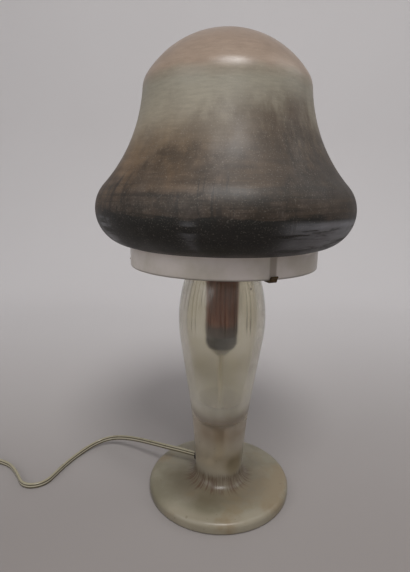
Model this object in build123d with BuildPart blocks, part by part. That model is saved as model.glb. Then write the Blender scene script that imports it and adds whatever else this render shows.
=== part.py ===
from build123d import *
import math
import os

os.makedirs("parts", exist_ok=True)

# A mushroom table lamp of blown glass: a hollow bell shade rests on three hooked brass arms, the
# arms and an E27 lamp holder are clamped to a threaded tube, and the tube is held in the neck of a
# hollow glass base by a turned stopper. Millimetres, +Z up, origin at the centre of the foot's
# underside, the camera side is -Y.

# ---- Glass base ----
foot_radius = 61.0
foot_edge_height = 9.5
foot_top_height = 11.5
foot_edge_round = 4.0
foot_lower_round = 2.0
foot_flare_round = 8.0
waist_radius, waist_height = 20.3, 20.0
cone_start_radius, cone_start_height = 26.4, 87.0
cone_end_radius, cone_end_height = 34.2, 138.0
neck_radius, neck_height = 26.2, 200.0
neck_lip_length = 8.0
neck_lip_round = 1.5
waist_lean = 2.0  # degrees that the stem already leans out at its waist
stem_wall = 6.5
neck_wall = 6.5
cavity_floor = 60.0
cavity_floor_radius = 11.0
cavity_floor_rise = 5.0
throat_radius = 4.6
throat_floor = 18.5

# ---- Cord hole in the stem ----
cord_hole_height = 24.0
cord_hole_radius = 3.7
cord_hole_azimuth = 158.7  # degrees from +X, left and a little behind
bush_fit = 0.05
bush_flange_radius = 5.4
bush_flange_thickness = 1.7
bush_flange_taper = 8.0
bush_depth = 8.0

# ---- Twin flex ----
flex_width = 5.0
flex_thickness = 2.6
flex_fit = 0.2
inner_bend_radius = 9.0
cord_length = 1800.0

# ---- Stopper and clamp in the neck ----
stopper_fit = 0.3
stopper_head_length = 11.0
stopper_taper = 1.2
stopper_radius = 13.4
stopper_bottom = 142.0
stopper_round = 2.0
tube_radius = 5.0
tube_bore_radius = 3.6
tube_fit = 0.1
rubber_length = 9.0
rubber_radius = 13.0
rubber_chamfer = 1.2
rubber_chamfer_height = 2.0
washer_radius = 11.0
washer_thickness = 1.5
hex_nut_flats = 14.0
hex_nut_thickness = 4.0
hex_nut_turning = 0.6  # how far the turned-off corners stand out past the flats
tube_overhang = 2.5
tube_chamfer = 0.4

# ---- Neck cap and shade spider ----
cap_thickness = 1.2
cap_skirt_length = 7.0
cap_fit = 0.3
hub_radius = 13.0
hub_thickness = 1.6
hub_tab_reach = 24.0
hub_tab_margin = 1.0
hub_tab_round = 3.0
hub_valley_round = 2.5
arm_count = 3
arm_first_azimuth = -66.0  # degrees from +X: the arm in front, a little to the right
arm_thickness = 1.2
arm_width = 5.0
arm_root_width = 8.0
arm_start = 11.0
arm_knee_radius = 53.0
arm_knee_rise = 3.0
arm_bend_radius = 2.2
arm_flat_end = 27.0
arm_step_in = 3.0
rivet_radius = 1.5
rivet_head_radius = 2.6
rivet_head_height = 1.0
rivet_place = 19.0
rivet_head_taper = 30.0
rim_clearance = 0.35
rim_drop = 10.5  # from the hub's top face down to the shade's rim
hook_height = 2.8
hook_bend_radius = 1.3
hook_tip_flare = 1.2
hook_tip_radius = 1.0

# ---- Lamp holder, E27 ----
holder_radius = 20.0
holder_wall = 1.1
holder_cap_height = 17.0
holder_cap_neck_radius = 9.0
holder_body_length = 36.0
holder_overlap = 5.0
holder_fit = 0.15
holder_boss_height = 6.0
holder_cap_outer_bend = 4.0
holder_cap_inner_bend = 2.0
holder_neck_share = 0.3  # of the cap's height, up to where its cone starts
holder_cone_share = 0.6  # up to where the cone ends on the outside
holder_cone_inner_share = 0.62
holder_bead_radius = 1.0
insert_base_height = 8.0
insert_round = 1.0
liner_radius = 14.3
liner_thickness = 0.5
liner_length = 20.0
liner_lift = 1.5
contact_width = 5.0
contact_thickness = 0.6
contact_foot = 7.0
contact_bow = 9.0
contact_pad = 3.0
contact_rise = 2.4
contact_bend_radius = 0.9
terminal_spacing = 22.0
terminal_head_radius = 2.0
terminal_head_height = 1.4
terminal_shank_radius = 1.4
terminal_depth = 5.5
terminal_slot_width = 0.6

# ---- Bulb, A60 with E27 cap ----
bulb_radius = 30.0
bulb_length = 104.0
bulb_wall = 0.8
bulb_cap_radius = 13.2
bulb_cap_length = 22.0
bulb_cap_wall = 0.5
bulb_cap_shoulder = 2.5
bulb_cap_inner_step = 0.3  # keeps the cone's wall even
bulb_skirt_step = 0.1
bulb_seat_depth = 6.0
bulb_thread_pitch = 3.6
bulb_thread_depth = 0.8
bulb_tip_radius = 4.8
bulb_tip_height = 5.0
bulb_tip_skirt = 4.0
bulb_flare_angle = 40.0
bulb_stem_radius = 3.2
filament_lead_share = 0.6  # of the stem's radius, out to the feet of its leads
filament_bow = (0.6, 0.8)  # the wire's two hind corners, as shares of its radius
mount_foot_thickness = 1.0
mount_flare_height = 9.0
mount_flare_round = 6.0
mount_top_round = 1.5
mount_drop = 14.0  # from the filament down to the top of the glass mount
filament_height = 62.0  # above the tip contact
filament_radius = 11.0
filament_wire = 0.35
filament_bend_radius = 1.2

# ---- Glass shade ----
collar_radius = 73.0
collar_round = 2.5
rim_round = 1.3
bulge_radius = 98.0
bulge_rise = 42.8  # from the rim up to the widest place
bulge_round = 27.0
bulge_turn = 42.0  # degrees above level at which the bulge runs into the flank
shoulder_radius = 61.8
shoulder_rise = 85.6  # from the widest place up to the shoulder
shoulder_round = 18.8
crown_rise = 39.9
shade_wall = 3.0

# ---- In-line switch ----
switch_length = 62.0
switch_width = 24.0
switch_end_width = 12.0
switch_height = 17.0
switch_centre = (-266.0, 26.0)
switch_round = 2.4
switch_split = 8.5
rocker_length = 20.0
rocker_width = 10.0
rocker_gap = 0.45
rocker_tilt = 8.0
rocker_pivot_height = 13.0
rocker_crest = 4.2
rocker_depth = 2.6
trunnion_radius = 1.3
trunnion_length = 1.6
trunnion_fit = 0.08
switch_screw_spacing = 40.0
switch_screw_radius = 1.5
switch_corner_round = 1.5
screw_head_radius = 2.6
screw_head_height = 1.2
screw_sink = 1.8
screw_bite = 3.5
slot_width = 0.7
slot_depth = 0.6

# ---- Put-away coil ----
coil_entry = (-319.0, -32.0)
coil_turns = 7.0
climb_turns = 0.5
coil_gap = 0.5
coil_samples = 1400
tie_thickness = 0.6
tie_width = 7.0
tie_gap = 0.3
tie_slack = 0.6
tie_round = 1.4
tie_azimuth = 65.0

# ---- Flat two-pin plug ----
plug_length = 33.0
plug_width = 35.0
plug_thickness = 13.7
plug_tail_width = 17.0
plug_face_length = 10.0  # straight sides behind the pin face
plug_flare_round = 9.0
plug_round = 2.5
plug_place = (-262.0, -92.0)  # where the cord meets the plug's strain relief
pin_length = 19.0
pin_radius = 2.0
pin_spacing = 19.0
pin_sleeve_length = 10.0
pin_sleeve_radius = 1.9
pin_core_radius = 1.4
pin_chamfer = 0.7
relief_length = 15.0
relief_root_radius = 5.4
relief_tip_radius = 3.6
relief_rib_count = 4
relief_groove = 0.7


def to_radians(degrees):
    return math.radians(degrees)


def finish(builder, name):
    """Label a finished piece and write it out."""
    builder.part.label = name
    export_step(builder.part, f"parts/{name}.step")
    print(f"{name}: {builder.part.volume:.0f} mm3")


def polar(radius, azimuth, height=0.0):
    """A point given by its distance from the lamp's axis and its direction."""
    return (radius * math.cos(to_radians(azimuth)), radius * math.sin(to_radians(azimuth)), height)


def fillet_radii(route):
    """The largest tangent arc at each corner of a route: it takes 0.45 of the shorter run."""
    radii = []
    for before, corner, after in zip(route, route[1:], route[2:]):
        arriving, leaving = Vector(corner) - Vector(before), Vector(after) - Vector(corner)
        turn = to_radians(arriving.get_angle(leaving))
        radii.append(0.45 * min(arriving.length, leaving.length) / math.tan(turn / 2))
    return radii


def free_path(route):
    """Straight runs joined by tangent arcs through a free stretch's points."""
    radii = fillet_radii(route)
    print("arc radii", [round(radius, 1) for radius in radii])
    with BuildLine() as line:
        FilletPolyline(*route, radius=radii)
    return line.wires()[0]


def flex_along(path, width_direction):
    """Twin flex swept along a path, its width kept in the plane of the path and width_direction."""
    guide = path.moved(Location(Vector(width_direction) * 4 * flex_width))
    with BuildPart() as flex:
        square = Plane(
            path @ 0, x_dir=(path % 0).cross(Vector(width_direction)), z_dir=path % 0
        )
        with BuildSketch(square) as section:
            SlotOverall(flex_width, flex_thickness, rotation=90)
        sweep(path=path, binormal=guide)
    share = flex.part.volume / (section.sketch.area * path.length)
    print(f"flex {path.length:.1f} mm long, volume {share:.4f} of section times length")
    return flex


def shell_outline(skin, wall):
    """The outline of a thin wall whose outer face is skin, drawn upwards from its open end."""
    return skin.wires()[0].offset_2d(wall, side=Side.LEFT, closed=True)


# ---- Glass base: foot and stem in one, hollow from the neck down ----
neck_top = neck_height + neck_lip_length
neck_bore_radius = neck_radius - neck_wall
hole_direction = Vector(*polar(1, cord_hole_azimuth))
hole_plane = Plane(origin=(0, 0, cord_hole_height), z_dir=hole_direction)

with BuildPart() as glass_base:
    with BuildSketch(Plane.XZ) as base_outline:
        with BuildLine():
            Polyline(
                (0, neck_top), (0, 0), (foot_radius, 0), (foot_radius, foot_edge_height),
                (waist_radius, foot_top_height), (waist_radius, waist_height),
            )
            waist_tangent = (math.sin(to_radians(waist_lean)), math.cos(to_radians(waist_lean)))
            waist = TangentArc(
                (waist_radius, waist_height), (cone_start_radius, cone_start_height),
                tangent=waist_tangent,
            )
            cone = Line(waist @ 1, (cone_end_radius, cone_end_height))
            belly = TangentArc(cone @ 1, (neck_radius, neck_height), tangent=cone % 1)
            Polyline(belly @ 1, (neck_radius, neck_top), (0, neck_top))
        make_face()
        edge_corner = (foot_radius, foot_edge_height)
        fillet(base_outline.vertices().sort_by_distance(edge_corner)[0], foot_edge_round)
        fillet(base_outline.vertices().sort_by_distance((foot_radius, 0))[0], foot_lower_round)
        flare = base_outline.vertices().sort_by_distance((waist_radius, foot_top_height))[0]
        fillet(flare, foot_flare_round)
        fillet(base_outline.vertices().sort_by_distance((neck_radius, neck_top))[0], neck_lip_round)
    revolve(axis=Axis.Z)
    stem_outside = glass_base.part
    with BuildSketch(Plane.XZ):
        with BuildLine():
            cavity_floor_arc = TangentArc(
                (0, cavity_floor),
                (cavity_floor_radius, cavity_floor + cavity_floor_rise),
                tangent=(1, 0),
            )
            lower = TangentArc(
                cavity_floor_arc @ 1, (cone_start_radius - stem_wall, cone_start_height),
                tangent=cavity_floor_arc % 1,
            )
            inner_cone = Line(lower @ 1, (cone_end_radius - stem_wall, cone_end_height))
            inner_belly = TangentArc(
                inner_cone @ 1, (neck_bore_radius, neck_height), tangent=inner_cone % 1
            )
            Polyline(
                inner_belly @ 1, (neck_bore_radius, neck_top), (0, neck_top), (0, cavity_floor)
            )
        make_face()
    revolve(axis=Axis.Z, mode=Mode.SUBTRACT)
    with BuildSketch(Plane.XY.offset(throat_floor)):
        Circle(throat_radius)
    extrude(amount=cavity_floor + throat_radius - throat_floor, mode=Mode.SUBTRACT)
    with BuildSketch(hole_plane):
        Circle(cord_hole_radius)
    extrude(amount=foot_radius, mode=Mode.SUBTRACT)
finish(glass_base, "glass_base")

# ---- Rubber bush in the cord hole, its flange shaped to the stem ----
bush_face = waist_radius + bush_flange_thickness
bush_start = waist_radius - bush_depth
with BuildPart() as cord_bush:
    with BuildSketch(hole_plane.offset(bush_start)):
        Circle(cord_hole_radius - bush_fit)
    extrude(amount=bush_depth)
    with BuildSketch(hole_plane.offset(bush_start)):
        Circle(bush_flange_radius)
    extrude(amount=bush_face - bush_start, taper=bush_flange_taper)
    add(stem_outside, mode=Mode.SUBTRACT)
    with BuildSketch(hole_plane.offset(bush_start)):
        Circle(cord_hole_radius - bush_fit)
    extrude(amount=bush_depth)
    with BuildSketch(hole_plane.offset(bush_start)):
        Circle(flex_width / 2 + flex_fit)
    extrude(amount=bush_depth + 2 * bush_flange_thickness, mode=Mode.SUBTRACT)
finish(cord_bush, "cord_bush")

# ---- Turned stopper: a tapered head in the neck and a long shank in the cavity ----
head_radius = neck_bore_radius - stopper_fit
with BuildPart() as neck_stopper:
    with BuildSketch(Plane.XZ) as stopper_outline:
        with BuildLine():
            Polyline(
                (0, stopper_bottom), (stopper_radius, stopper_bottom),
                (stopper_radius, neck_top - stopper_head_length),
                (head_radius - stopper_taper, neck_top - stopper_head_length),
                (head_radius, neck_top), (0, neck_top), close=True,
            )
        make_face()
        inner_corner = (stopper_radius, neck_top - stopper_head_length)
        fillet(stopper_outline.vertices().sort_by_distance(inner_corner)[0], stopper_round)
        chamfer(
            stopper_outline.vertices().sort_by_distance((stopper_radius, stopper_bottom))[0],
            stopper_round / 2,
        )
    revolve(axis=Axis.Z)
    with BuildSketch(Plane.XY.offset(stopper_bottom)):
        Circle(tube_radius + tube_fit)
    extrude(amount=neck_top, mode=Mode.SUBTRACT)
finish(neck_stopper, "neck_stopper")

# ---- Rubber ring, washer and nut that tighten the stopper from below ----
rubber_bottom = stopper_bottom - rubber_length
with BuildPart() as clamp_rubber:
    with BuildSketch(Plane.XZ) as rubber_outline:
        with BuildLine():
            Polyline(
                (tube_radius + tube_fit, rubber_bottom),
                (rubber_radius - rubber_chamfer, rubber_bottom),
                (rubber_radius, rubber_bottom + rubber_chamfer_height),
                (rubber_radius, stopper_bottom - rubber_chamfer_height),
                (rubber_radius - rubber_chamfer, stopper_bottom),
                (tube_radius + tube_fit, stopper_bottom), close=True,
            )
        make_face()
    revolve(axis=Axis.Z)
finish(clamp_rubber, "clamp_rubber")

washer_bottom = rubber_bottom - washer_thickness
with BuildPart() as clamp_washer:
    with BuildSketch(Plane.XY.offset(washer_bottom)):
        Circle(washer_radius)
        Circle(tube_radius + tube_fit, mode=Mode.SUBTRACT)
    extrude(amount=washer_thickness)
finish(clamp_washer, "clamp_washer")


def hex_nut(bottom):
    """A plain hexagon nut for the threaded tube, its corners turned off."""
    with BuildPart() as nut:
        with BuildSketch(Plane.XY.offset(bottom)):
            RegularPolygon(hex_nut_flats / 2, 6, major_radius=False)
            Circle(tube_radius, mode=Mode.SUBTRACT)
        extrude(amount=hex_nut_thickness)
        with BuildSketch(Plane.XY.offset(bottom)):
            Circle(hex_nut_flats / 2 + hex_nut_turning)
        extrude(amount=hex_nut_thickness, mode=Mode.INTERSECT)
    return nut


clamp_nut_bottom = washer_bottom - hex_nut_thickness
clamp_nut = hex_nut(clamp_nut_bottom)
finish(clamp_nut, "clamp_nut")

# ---- Cap over the neck, spider hub and its nut, stacked on the neck ----
cap_top = neck_top + cap_thickness
with BuildPart() as neck_cap:
    with BuildSketch(Plane.XZ) as cap_outline:
        skirt_inside = neck_radius + cap_fit
        with BuildLine():
            Polyline(
                (tube_radius + tube_fit, neck_top), (skirt_inside, neck_top),
                (skirt_inside, neck_top - cap_skirt_length),
                (skirt_inside + cap_thickness, neck_top - cap_skirt_length),
                (skirt_inside + cap_thickness, cap_top), (tube_radius + tube_fit, cap_top),
                close=True,
            )
        make_face()
        fillet(
            cap_outline.vertices().sort_by_distance((skirt_inside + cap_thickness, cap_top))[0],
            0.9 * cap_thickness,
        )
    revolve(axis=Axis.Z)
finish(neck_cap, "neck_cap")

hub_top = cap_top + hub_thickness
arm_azimuths = [arm_first_azimuth + 360 / arm_count * k for k in range(arm_count)]
with BuildPart() as spider_hub:
    with BuildSketch(Plane.XY.offset(cap_top)) as hub_outline:
        Circle(hub_radius)
        for azimuth in arm_azimuths:
            with Locations(Location(polar(hub_tab_reach / 2, azimuth), (0, 0, azimuth))):
                Rectangle(hub_tab_reach, arm_root_width + 2 * hub_tab_margin)
        inner = hub_outline.vertices().filter_by(lambda v: Vector(v).length < hub_tab_reach - 1)
        fillet(inner, hub_valley_round)
        outer = hub_outline.vertices().filter_by(lambda v: Vector(v).length > hub_tab_reach - 1)
        fillet(outer, hub_tab_round)
        Circle(tube_radius + tube_fit, mode=Mode.SUBTRACT)
        with Locations(*[polar(rivet_place, azimuth) for azimuth in arm_azimuths]):
            Circle(rivet_radius, mode=Mode.SUBTRACT)
    extrude(amount=hub_thickness)
finish(spider_hub, "spider_hub")

hub_nut = hex_nut(hub_top)
finish(hub_nut, "hub_nut")
hub_nut_top = hub_top + hex_nut_thickness

# ---- Three arms of bent strip: out from the hub, down inside the collar, a hook round its rim.
# Heights along the strip are from the hub's top face. ----
collar_bottom = hub_top - rim_drop
collar_inner_radius = collar_radius - shade_wall
hook_inside = collar_radius + rim_clearance
strip_middle = arm_thickness / 2
hook_level = -rim_drop - rim_clearance  # the hook's upper face, from the hub's top face
arm_route = [
    (arm_start, strip_middle),
    (arm_flat_end, strip_middle),
    (arm_knee_radius, strip_middle + arm_knee_rise),
    (collar_inner_radius - arm_step_in, hook_level - strip_middle),
    (hook_inside + strip_middle, hook_level - strip_middle),
    (hook_inside + strip_middle, hook_level + hook_height - hook_tip_flare),
    (hook_inside + strip_middle + hook_tip_flare, hook_level + hook_height),
]
arm_bends = [
    arm_bend_radius * 3, arm_bend_radius * 2, arm_bend_radius, hook_bend_radius, hook_tip_radius
]
arm_depth = rim_drop + rim_clearance + arm_thickness + arm_knee_rise

for number, azimuth in enumerate(arm_azimuths, start=1):
    side = Plane(
        origin=(0, 0, hub_top), x_dir=polar(1, azimuth), z_dir=polar(1, azimuth - 90)
    )
    upward = Plane(origin=(0, 0, hub_top), x_dir=polar(1, azimuth), z_dir=(0, 0, 1))
    reach = hook_inside + arm_thickness + 2 * hook_tip_flare
    with BuildPart() as arm:
        with BuildSketch(side):
            with BuildLine():
                FilletPolyline(*arm_route, radius=arm_bends)
                offset(amount=arm_thickness / 2)
            make_face()
        extrude(amount=arm_root_width / 2, both=True)
        with BuildSketch(upward):
            with BuildLine():
                Polyline(
                    (0, -arm_root_width / 2), (hub_tab_reach, -arm_root_width / 2),
                    (arm_knee_radius, -arm_width / 2), (reach, -arm_width / 2),
                    (reach, arm_width / 2), (arm_knee_radius, arm_width / 2),
                    (hub_tab_reach, arm_root_width / 2), (0, arm_root_width / 2), close=True,
                )
            make_face()
        extrude(amount=arm_depth, both=True, mode=Mode.INTERSECT)
        with BuildSketch(Plane(origin=polar(rivet_place, azimuth, hub_top), z_dir=(0, 0, 1))):
            Circle(rivet_radius)
        extrude(amount=arm_thickness, both=True, mode=Mode.SUBTRACT)
    finish(arm, f"claw_arm_{number}")

# ---- Rivets through the arms and the hub ----
with BuildPart() as arm_rivets:
    for azimuth in arm_azimuths:
        with BuildSketch(Plane(origin=polar(rivet_place, azimuth, cap_top), z_dir=(0, 0, 1))):
            Circle(rivet_radius)
        extrude(amount=hub_thickness + arm_thickness)
        with BuildSketch(
            Plane(origin=polar(rivet_place, azimuth, hub_top + arm_thickness), z_dir=(0, 0, 1))
        ):
            Circle(rivet_head_radius)
        extrude(amount=rivet_head_height, taper=rivet_head_taper)
finish(arm_rivets, "arm_rivets")

# ---- Threaded tube from the clamp nut up into the lamp holder ----
holder_bottom = hub_nut_top
tube_bottom = clamp_nut_bottom - tube_overhang
tube_top = holder_bottom + holder_boss_height
with BuildPart() as threaded_tube:
    with BuildSketch(Plane.XY.offset(tube_bottom)):
        Circle(tube_radius)
        Circle(tube_bore_radius, mode=Mode.SUBTRACT)
    extrude(amount=tube_top - tube_bottom)
    chamfer(threaded_tube.edges().filter_by(GeomType.CIRCLE).group_by(Axis.Z)[0], tube_chamfer)
finish(threaded_tube, "threaded_tube")

# ---- Lamp holder: cap, body, porcelain insert, thread liner, contact and terminals ----
cap_rim = holder_bottom + holder_cap_height
outer_bend = (holder_radius, holder_bottom + holder_cone_share * holder_cap_height)
inner_bend = (
    holder_radius - holder_wall, holder_bottom + holder_cone_inner_share * holder_cap_height,
)
with BuildPart() as holder_cap:
    with BuildSketch(Plane.XZ) as shape:
        with BuildLine():
            Polyline(
                (tube_radius, holder_bottom), (holder_cap_neck_radius, holder_bottom),
                (holder_cap_neck_radius, holder_bottom + holder_neck_share * holder_cap_height),
                outer_bend, (holder_radius, cap_rim),
                (holder_radius - holder_wall, cap_rim), inner_bend,
                (holder_cap_neck_radius, holder_bottom + holder_boss_height),
                (tube_radius, holder_bottom + holder_boss_height), close=True,
            )
        make_face()
        fillet(shape.vertices().sort_by_distance(outer_bend)[0], holder_cap_outer_bend)
        fillet(shape.vertices().sort_by_distance(inner_bend)[0], holder_cap_inner_bend)
    revolve(axis=Axis.Z)
finish(holder_cap, "holder_cap")

body_bottom = cap_rim - holder_overlap
body_top = body_bottom + holder_body_length
spigot_radius = holder_radius - holder_wall - holder_fit
with BuildPart() as holder_body:
    with BuildSketch(Plane.XZ) as shape:
        with BuildLine():
            Polyline(
                (spigot_radius - holder_wall, body_bottom), (spigot_radius, body_bottom),
                (spigot_radius, cap_rim), (holder_radius, cap_rim),
                (holder_radius, body_top), (spigot_radius - holder_wall, body_top), close=True,
            )
        make_face()
        with Locations((holder_radius, body_top - holder_bead_radius)):
            Circle(holder_bead_radius)
    revolve(axis=Axis.Z)
finish(holder_body, "holder_body")

insert_radius = spigot_radius - holder_wall - holder_fit
socket_floor = body_bottom + insert_base_height
liner_bottom = socket_floor + liner_lift
insert_top = liner_bottom + liner_length + insert_round
terminals = [(-terminal_spacing / 2, 0), (terminal_spacing / 2, 0)]
with BuildPart() as holder_insert:
    with BuildSketch(Plane.XY.offset(body_bottom)):
        Circle(insert_radius)
    extrude(amount=insert_top - body_bottom)
    fillet(holder_insert.edges().filter_by(GeomType.CIRCLE).sort_by(Axis.Z)[-1], insert_round)
    with BuildSketch(Plane.XY.offset(socket_floor)):
        Circle(liner_radius)
    extrude(amount=insert_top - socket_floor, mode=Mode.SUBTRACT)
    with BuildSketch(Plane.XY.offset(body_bottom)):
        with Locations(*terminals):
            Circle(terminal_shank_radius)
    extrude(amount=terminal_depth, mode=Mode.SUBTRACT)
finish(holder_insert, "holder_insert")

with BuildPart() as holder_liner:
    with BuildSketch(Plane.XY.offset(liner_bottom)):
        Circle(liner_radius)
        Circle(liner_radius - liner_thickness, mode=Mode.SUBTRACT)
    extrude(amount=liner_length)
finish(holder_liner, "holder_liner")

# The contact is a strip folded back on itself, so that it springs against the bulb.
with BuildPart() as centre_contact:
    with BuildSketch(Plane(origin=(0, 0, socket_floor), x_dir=(1, 0, 0), z_dir=(0, -1, 0))):
        with BuildLine():
            FilletPolyline(
                (-contact_foot, contact_thickness / 2), (contact_foot, contact_thickness / 2),
                (contact_bow, 0.75 * contact_rise), (contact_pad, contact_rise),
                (-contact_pad, contact_rise), radius=contact_bend_radius,
            )
            offset(amount=contact_thickness / 2)
        make_face()
    extrude(amount=contact_width / 2, both=True)
finish(centre_contact, "centre_contact")

with BuildPart() as terminal_screws:
    with BuildSketch(Plane.XY.offset(body_bottom)):
        with Locations(*terminals):
            Circle(terminal_shank_radius)
    extrude(amount=terminal_depth)
    with BuildSketch(Plane.XY.offset(body_bottom)):
        with Locations(*terminals):
            Circle(terminal_head_radius)
    extrude(amount=-terminal_head_height)
    with BuildSketch(Plane.XY.offset(body_bottom - terminal_head_height)):
        with Locations(*terminals):
            Rectangle(3 * terminal_head_radius, terminal_slot_width)
    extrude(amount=terminal_slot_width, mode=Mode.SUBTRACT)
finish(terminal_screws, "terminal_screws")

# ---- Bulb: envelope, screw cap, insulated tip, glass mount and filament ----
bulb_bottom = socket_floor + contact_rise + contact_thickness / 2
bulb_centre = bulb_bottom + bulb_length - bulb_radius
bulb_cap_bottom = bulb_bottom + bulb_tip_height
bulb_cap_top = bulb_cap_bottom + bulb_cap_length
bulb_seat = bulb_cap_top - bulb_seat_depth
bulb_skirt_radius = bulb_tip_radius + bulb_tip_skirt
seat_radius = bulb_cap_radius - bulb_cap_wall - bush_fit
with BuildPart() as bulb_glass:
    with BuildSketch(Plane.XZ):
        with BuildLine():
            with BuildLine(mode=Mode.PRIVATE) as skin:
                seat = Line((seat_radius, bulb_seat), (seat_radius, bulb_cap_top + bulb_wall))
                globe = CenterArc(
                    (0, bulb_centre), bulb_radius, -bulb_flare_angle, 90 + bulb_flare_angle
                )
                TangentArc(seat @ 1, globe @ 0, tangent=(0, 1))
            add(shell_outline(skin, bulb_wall))
        make_face()
    revolve(axis=Axis.Z)
finish(bulb_glass, "bulb_glass")

with BuildPart() as bulb_cap:
    with BuildSketch(Plane.XZ) as shape:
        with BuildLine():
            Polyline(
                (bulb_skirt_radius, bulb_cap_bottom),
                (bulb_cap_radius, bulb_cap_bottom + bulb_cap_shoulder),
                (bulb_cap_radius, bulb_cap_top), (bulb_cap_radius - bulb_cap_wall, bulb_cap_top),
                (bulb_cap_radius - bulb_cap_wall, bulb_cap_bottom + bulb_cap_shoulder + bulb_cap_inner_step),
                (bulb_skirt_radius, bulb_cap_bottom + bulb_cap_wall + bulb_skirt_step), close=True,
            )
        make_face()
        first_ring = bulb_cap_bottom + 2 * bulb_cap_shoulder
        for ring in range(int((bulb_cap_top - first_ring) / bulb_thread_pitch)):
            with Locations((bulb_cap_radius, first_ring + ring * bulb_thread_pitch)):
                Circle(bulb_thread_depth / 2)
    revolve(axis=Axis.Z)
finish(bulb_cap, "bulb_cap")

with BuildPart() as bulb_tip:
    with BuildSketch(Plane.XZ):
        with BuildLine():
            Polyline(
                (0, bulb_bottom), (0.7 * bulb_tip_radius, bulb_bottom),
                (bulb_tip_radius, bulb_bottom + 0.25 * bulb_tip_height),
                (bulb_tip_radius, bulb_bottom + 0.45 * bulb_tip_height),
                (bulb_skirt_radius, bulb_cap_bottom), (0, bulb_cap_bottom), close=True,
            )
        make_face()
    revolve(axis=Axis.Z)
finish(bulb_tip, "bulb_tip")

mount_top = bulb_bottom + filament_height - mount_drop
mount_bottom = bulb_cap_top - bulb_seat_depth / 2
flare_top = mount_bottom + mount_foot_thickness + mount_flare_height
with BuildPart() as bulb_mount:
    with BuildSketch(Plane.XZ) as shape:
        with BuildLine():
            mount_foot = seat_radius - bulb_wall - 2 * bush_fit
            Polyline(
                (0, mount_bottom), (mount_foot, mount_bottom),
                (mount_foot, mount_bottom + mount_foot_thickness), (bulb_stem_radius, flare_top),
                (bulb_stem_radius, mount_top), (0, mount_top), close=True,
            )
        make_face()
        flare = shape.vertices().sort_by_distance((bulb_stem_radius, flare_top))[0]
        fillet(flare, mount_flare_round)
        tip = shape.vertices().sort_by_distance((bulb_stem_radius, mount_top))[0]
        fillet(tip, mount_top_round)
    revolve(axis=Axis.Z)
finish(bulb_mount, "bulb_mount")

filament_level = bulb_bottom + filament_height
with BuildPart() as bulb_filament:
    with BuildLine() as wire:
        lead_foot = bulb_stem_radius * filament_lead_share
        bow_x, bow_y = filament_radius * filament_bow[0], filament_radius * filament_bow[1]
        FilletPolyline(
            (-lead_foot, 0, mount_top), (-filament_radius, 0, filament_level),
            (-bow_x, bow_y, filament_level), (bow_x, bow_y, filament_level),
            (filament_radius, 0, filament_level), (lead_foot, 0, mount_top),
            radius=filament_bend_radius,
        )
    with BuildSketch(Plane(wire.wires()[0] @ 0, z_dir=wire.wires()[0] % 0)):
        Circle(filament_wire)
    sweep(path=wire.wires()[0])
finish(bulb_filament, "bulb_filament")

# ---- Glass shade: a collar, a full round bulge, a hollow flank and a shallow crown ----
bulge_axis = bulge_radius - bulge_round
bulge_height = collar_bottom + bulge_rise
shoulder_height = bulge_height + shoulder_rise
shade_top = shoulder_height + crown_rise
with BuildPart() as glass_shade:
    with BuildSketch(Plane.XZ) as shape:
        with BuildLine():
            with BuildLine(mode=Mode.PRIVATE) as skin:
                # The bulge's circle starts where it cuts the collar's straight wall.
                bulge_start = -math.degrees(math.acos((collar_radius - bulge_axis) / bulge_round))
                bulge = CenterArc(
                    (bulge_axis, bulge_height), bulge_round, bulge_start, bulge_turn - bulge_start
                )
                Line((collar_radius, collar_bottom), bulge @ 0)
                flank = TangentArc(
                    bulge @ 1, (shoulder_radius, shoulder_height), tangent=bulge % 1
                )
                # The crown's circle is centred on the lamp's axis, passes through the top, and
                # holds the shoulder's circle inside it, touching.
                shoulder_centre = flank @ 1 + (flank % 1).rotate(Axis.Z, 90) * shoulder_round
                drop = shade_top - shoulder_centre.Y
                crown_round = (shoulder_centre.X**2 + drop**2 - shoulder_round**2) / (
                    2 * (drop - shoulder_round)
                )
                crown_centre = Vector(0, shade_top - crown_round)
                spoke = (shoulder_centre - crown_centre).normalized()
                crown_meeting = crown_centre + spoke * crown_round
                shoulder = TangentArc(flank @ 1, crown_meeting, tangent=flank % 1)
                TangentArc(crown_meeting, (0, shade_top), tangent=shoulder % 1)
            add(shell_outline(skin, shade_wall))
        make_face()
        fillet(shape.vertices().sort_by_distance(bulge @ 0)[0], collar_round)
        rim = shape.vertices().group_by(Axis.Y)[0]
        fillet(rim, rim_round)
    revolve(axis=Axis.Z)
finish(glass_shade, "glass_shade")
print(f"lamp {shade_top:.1f} mm tall, crown radius {crown_round:.1f} mm")

# ---- Flex inside the lamp: in through the bush, up the throat and the tube to the terminals ----
bush_mouth = polar(bush_face, cord_hole_azimuth, cord_hole_height)
with BuildLine() as line:
    FilletPolyline(
        bush_mouth, (0, 0, cord_hole_height), (0, 0, body_bottom - terminal_head_height),
        radius=inner_bend_radius,
    )
inner_flex = flex_along(line.wires()[0], polar(1, cord_hole_azimuth + 90))
finish(inner_flex, "inner_flex")

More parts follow.
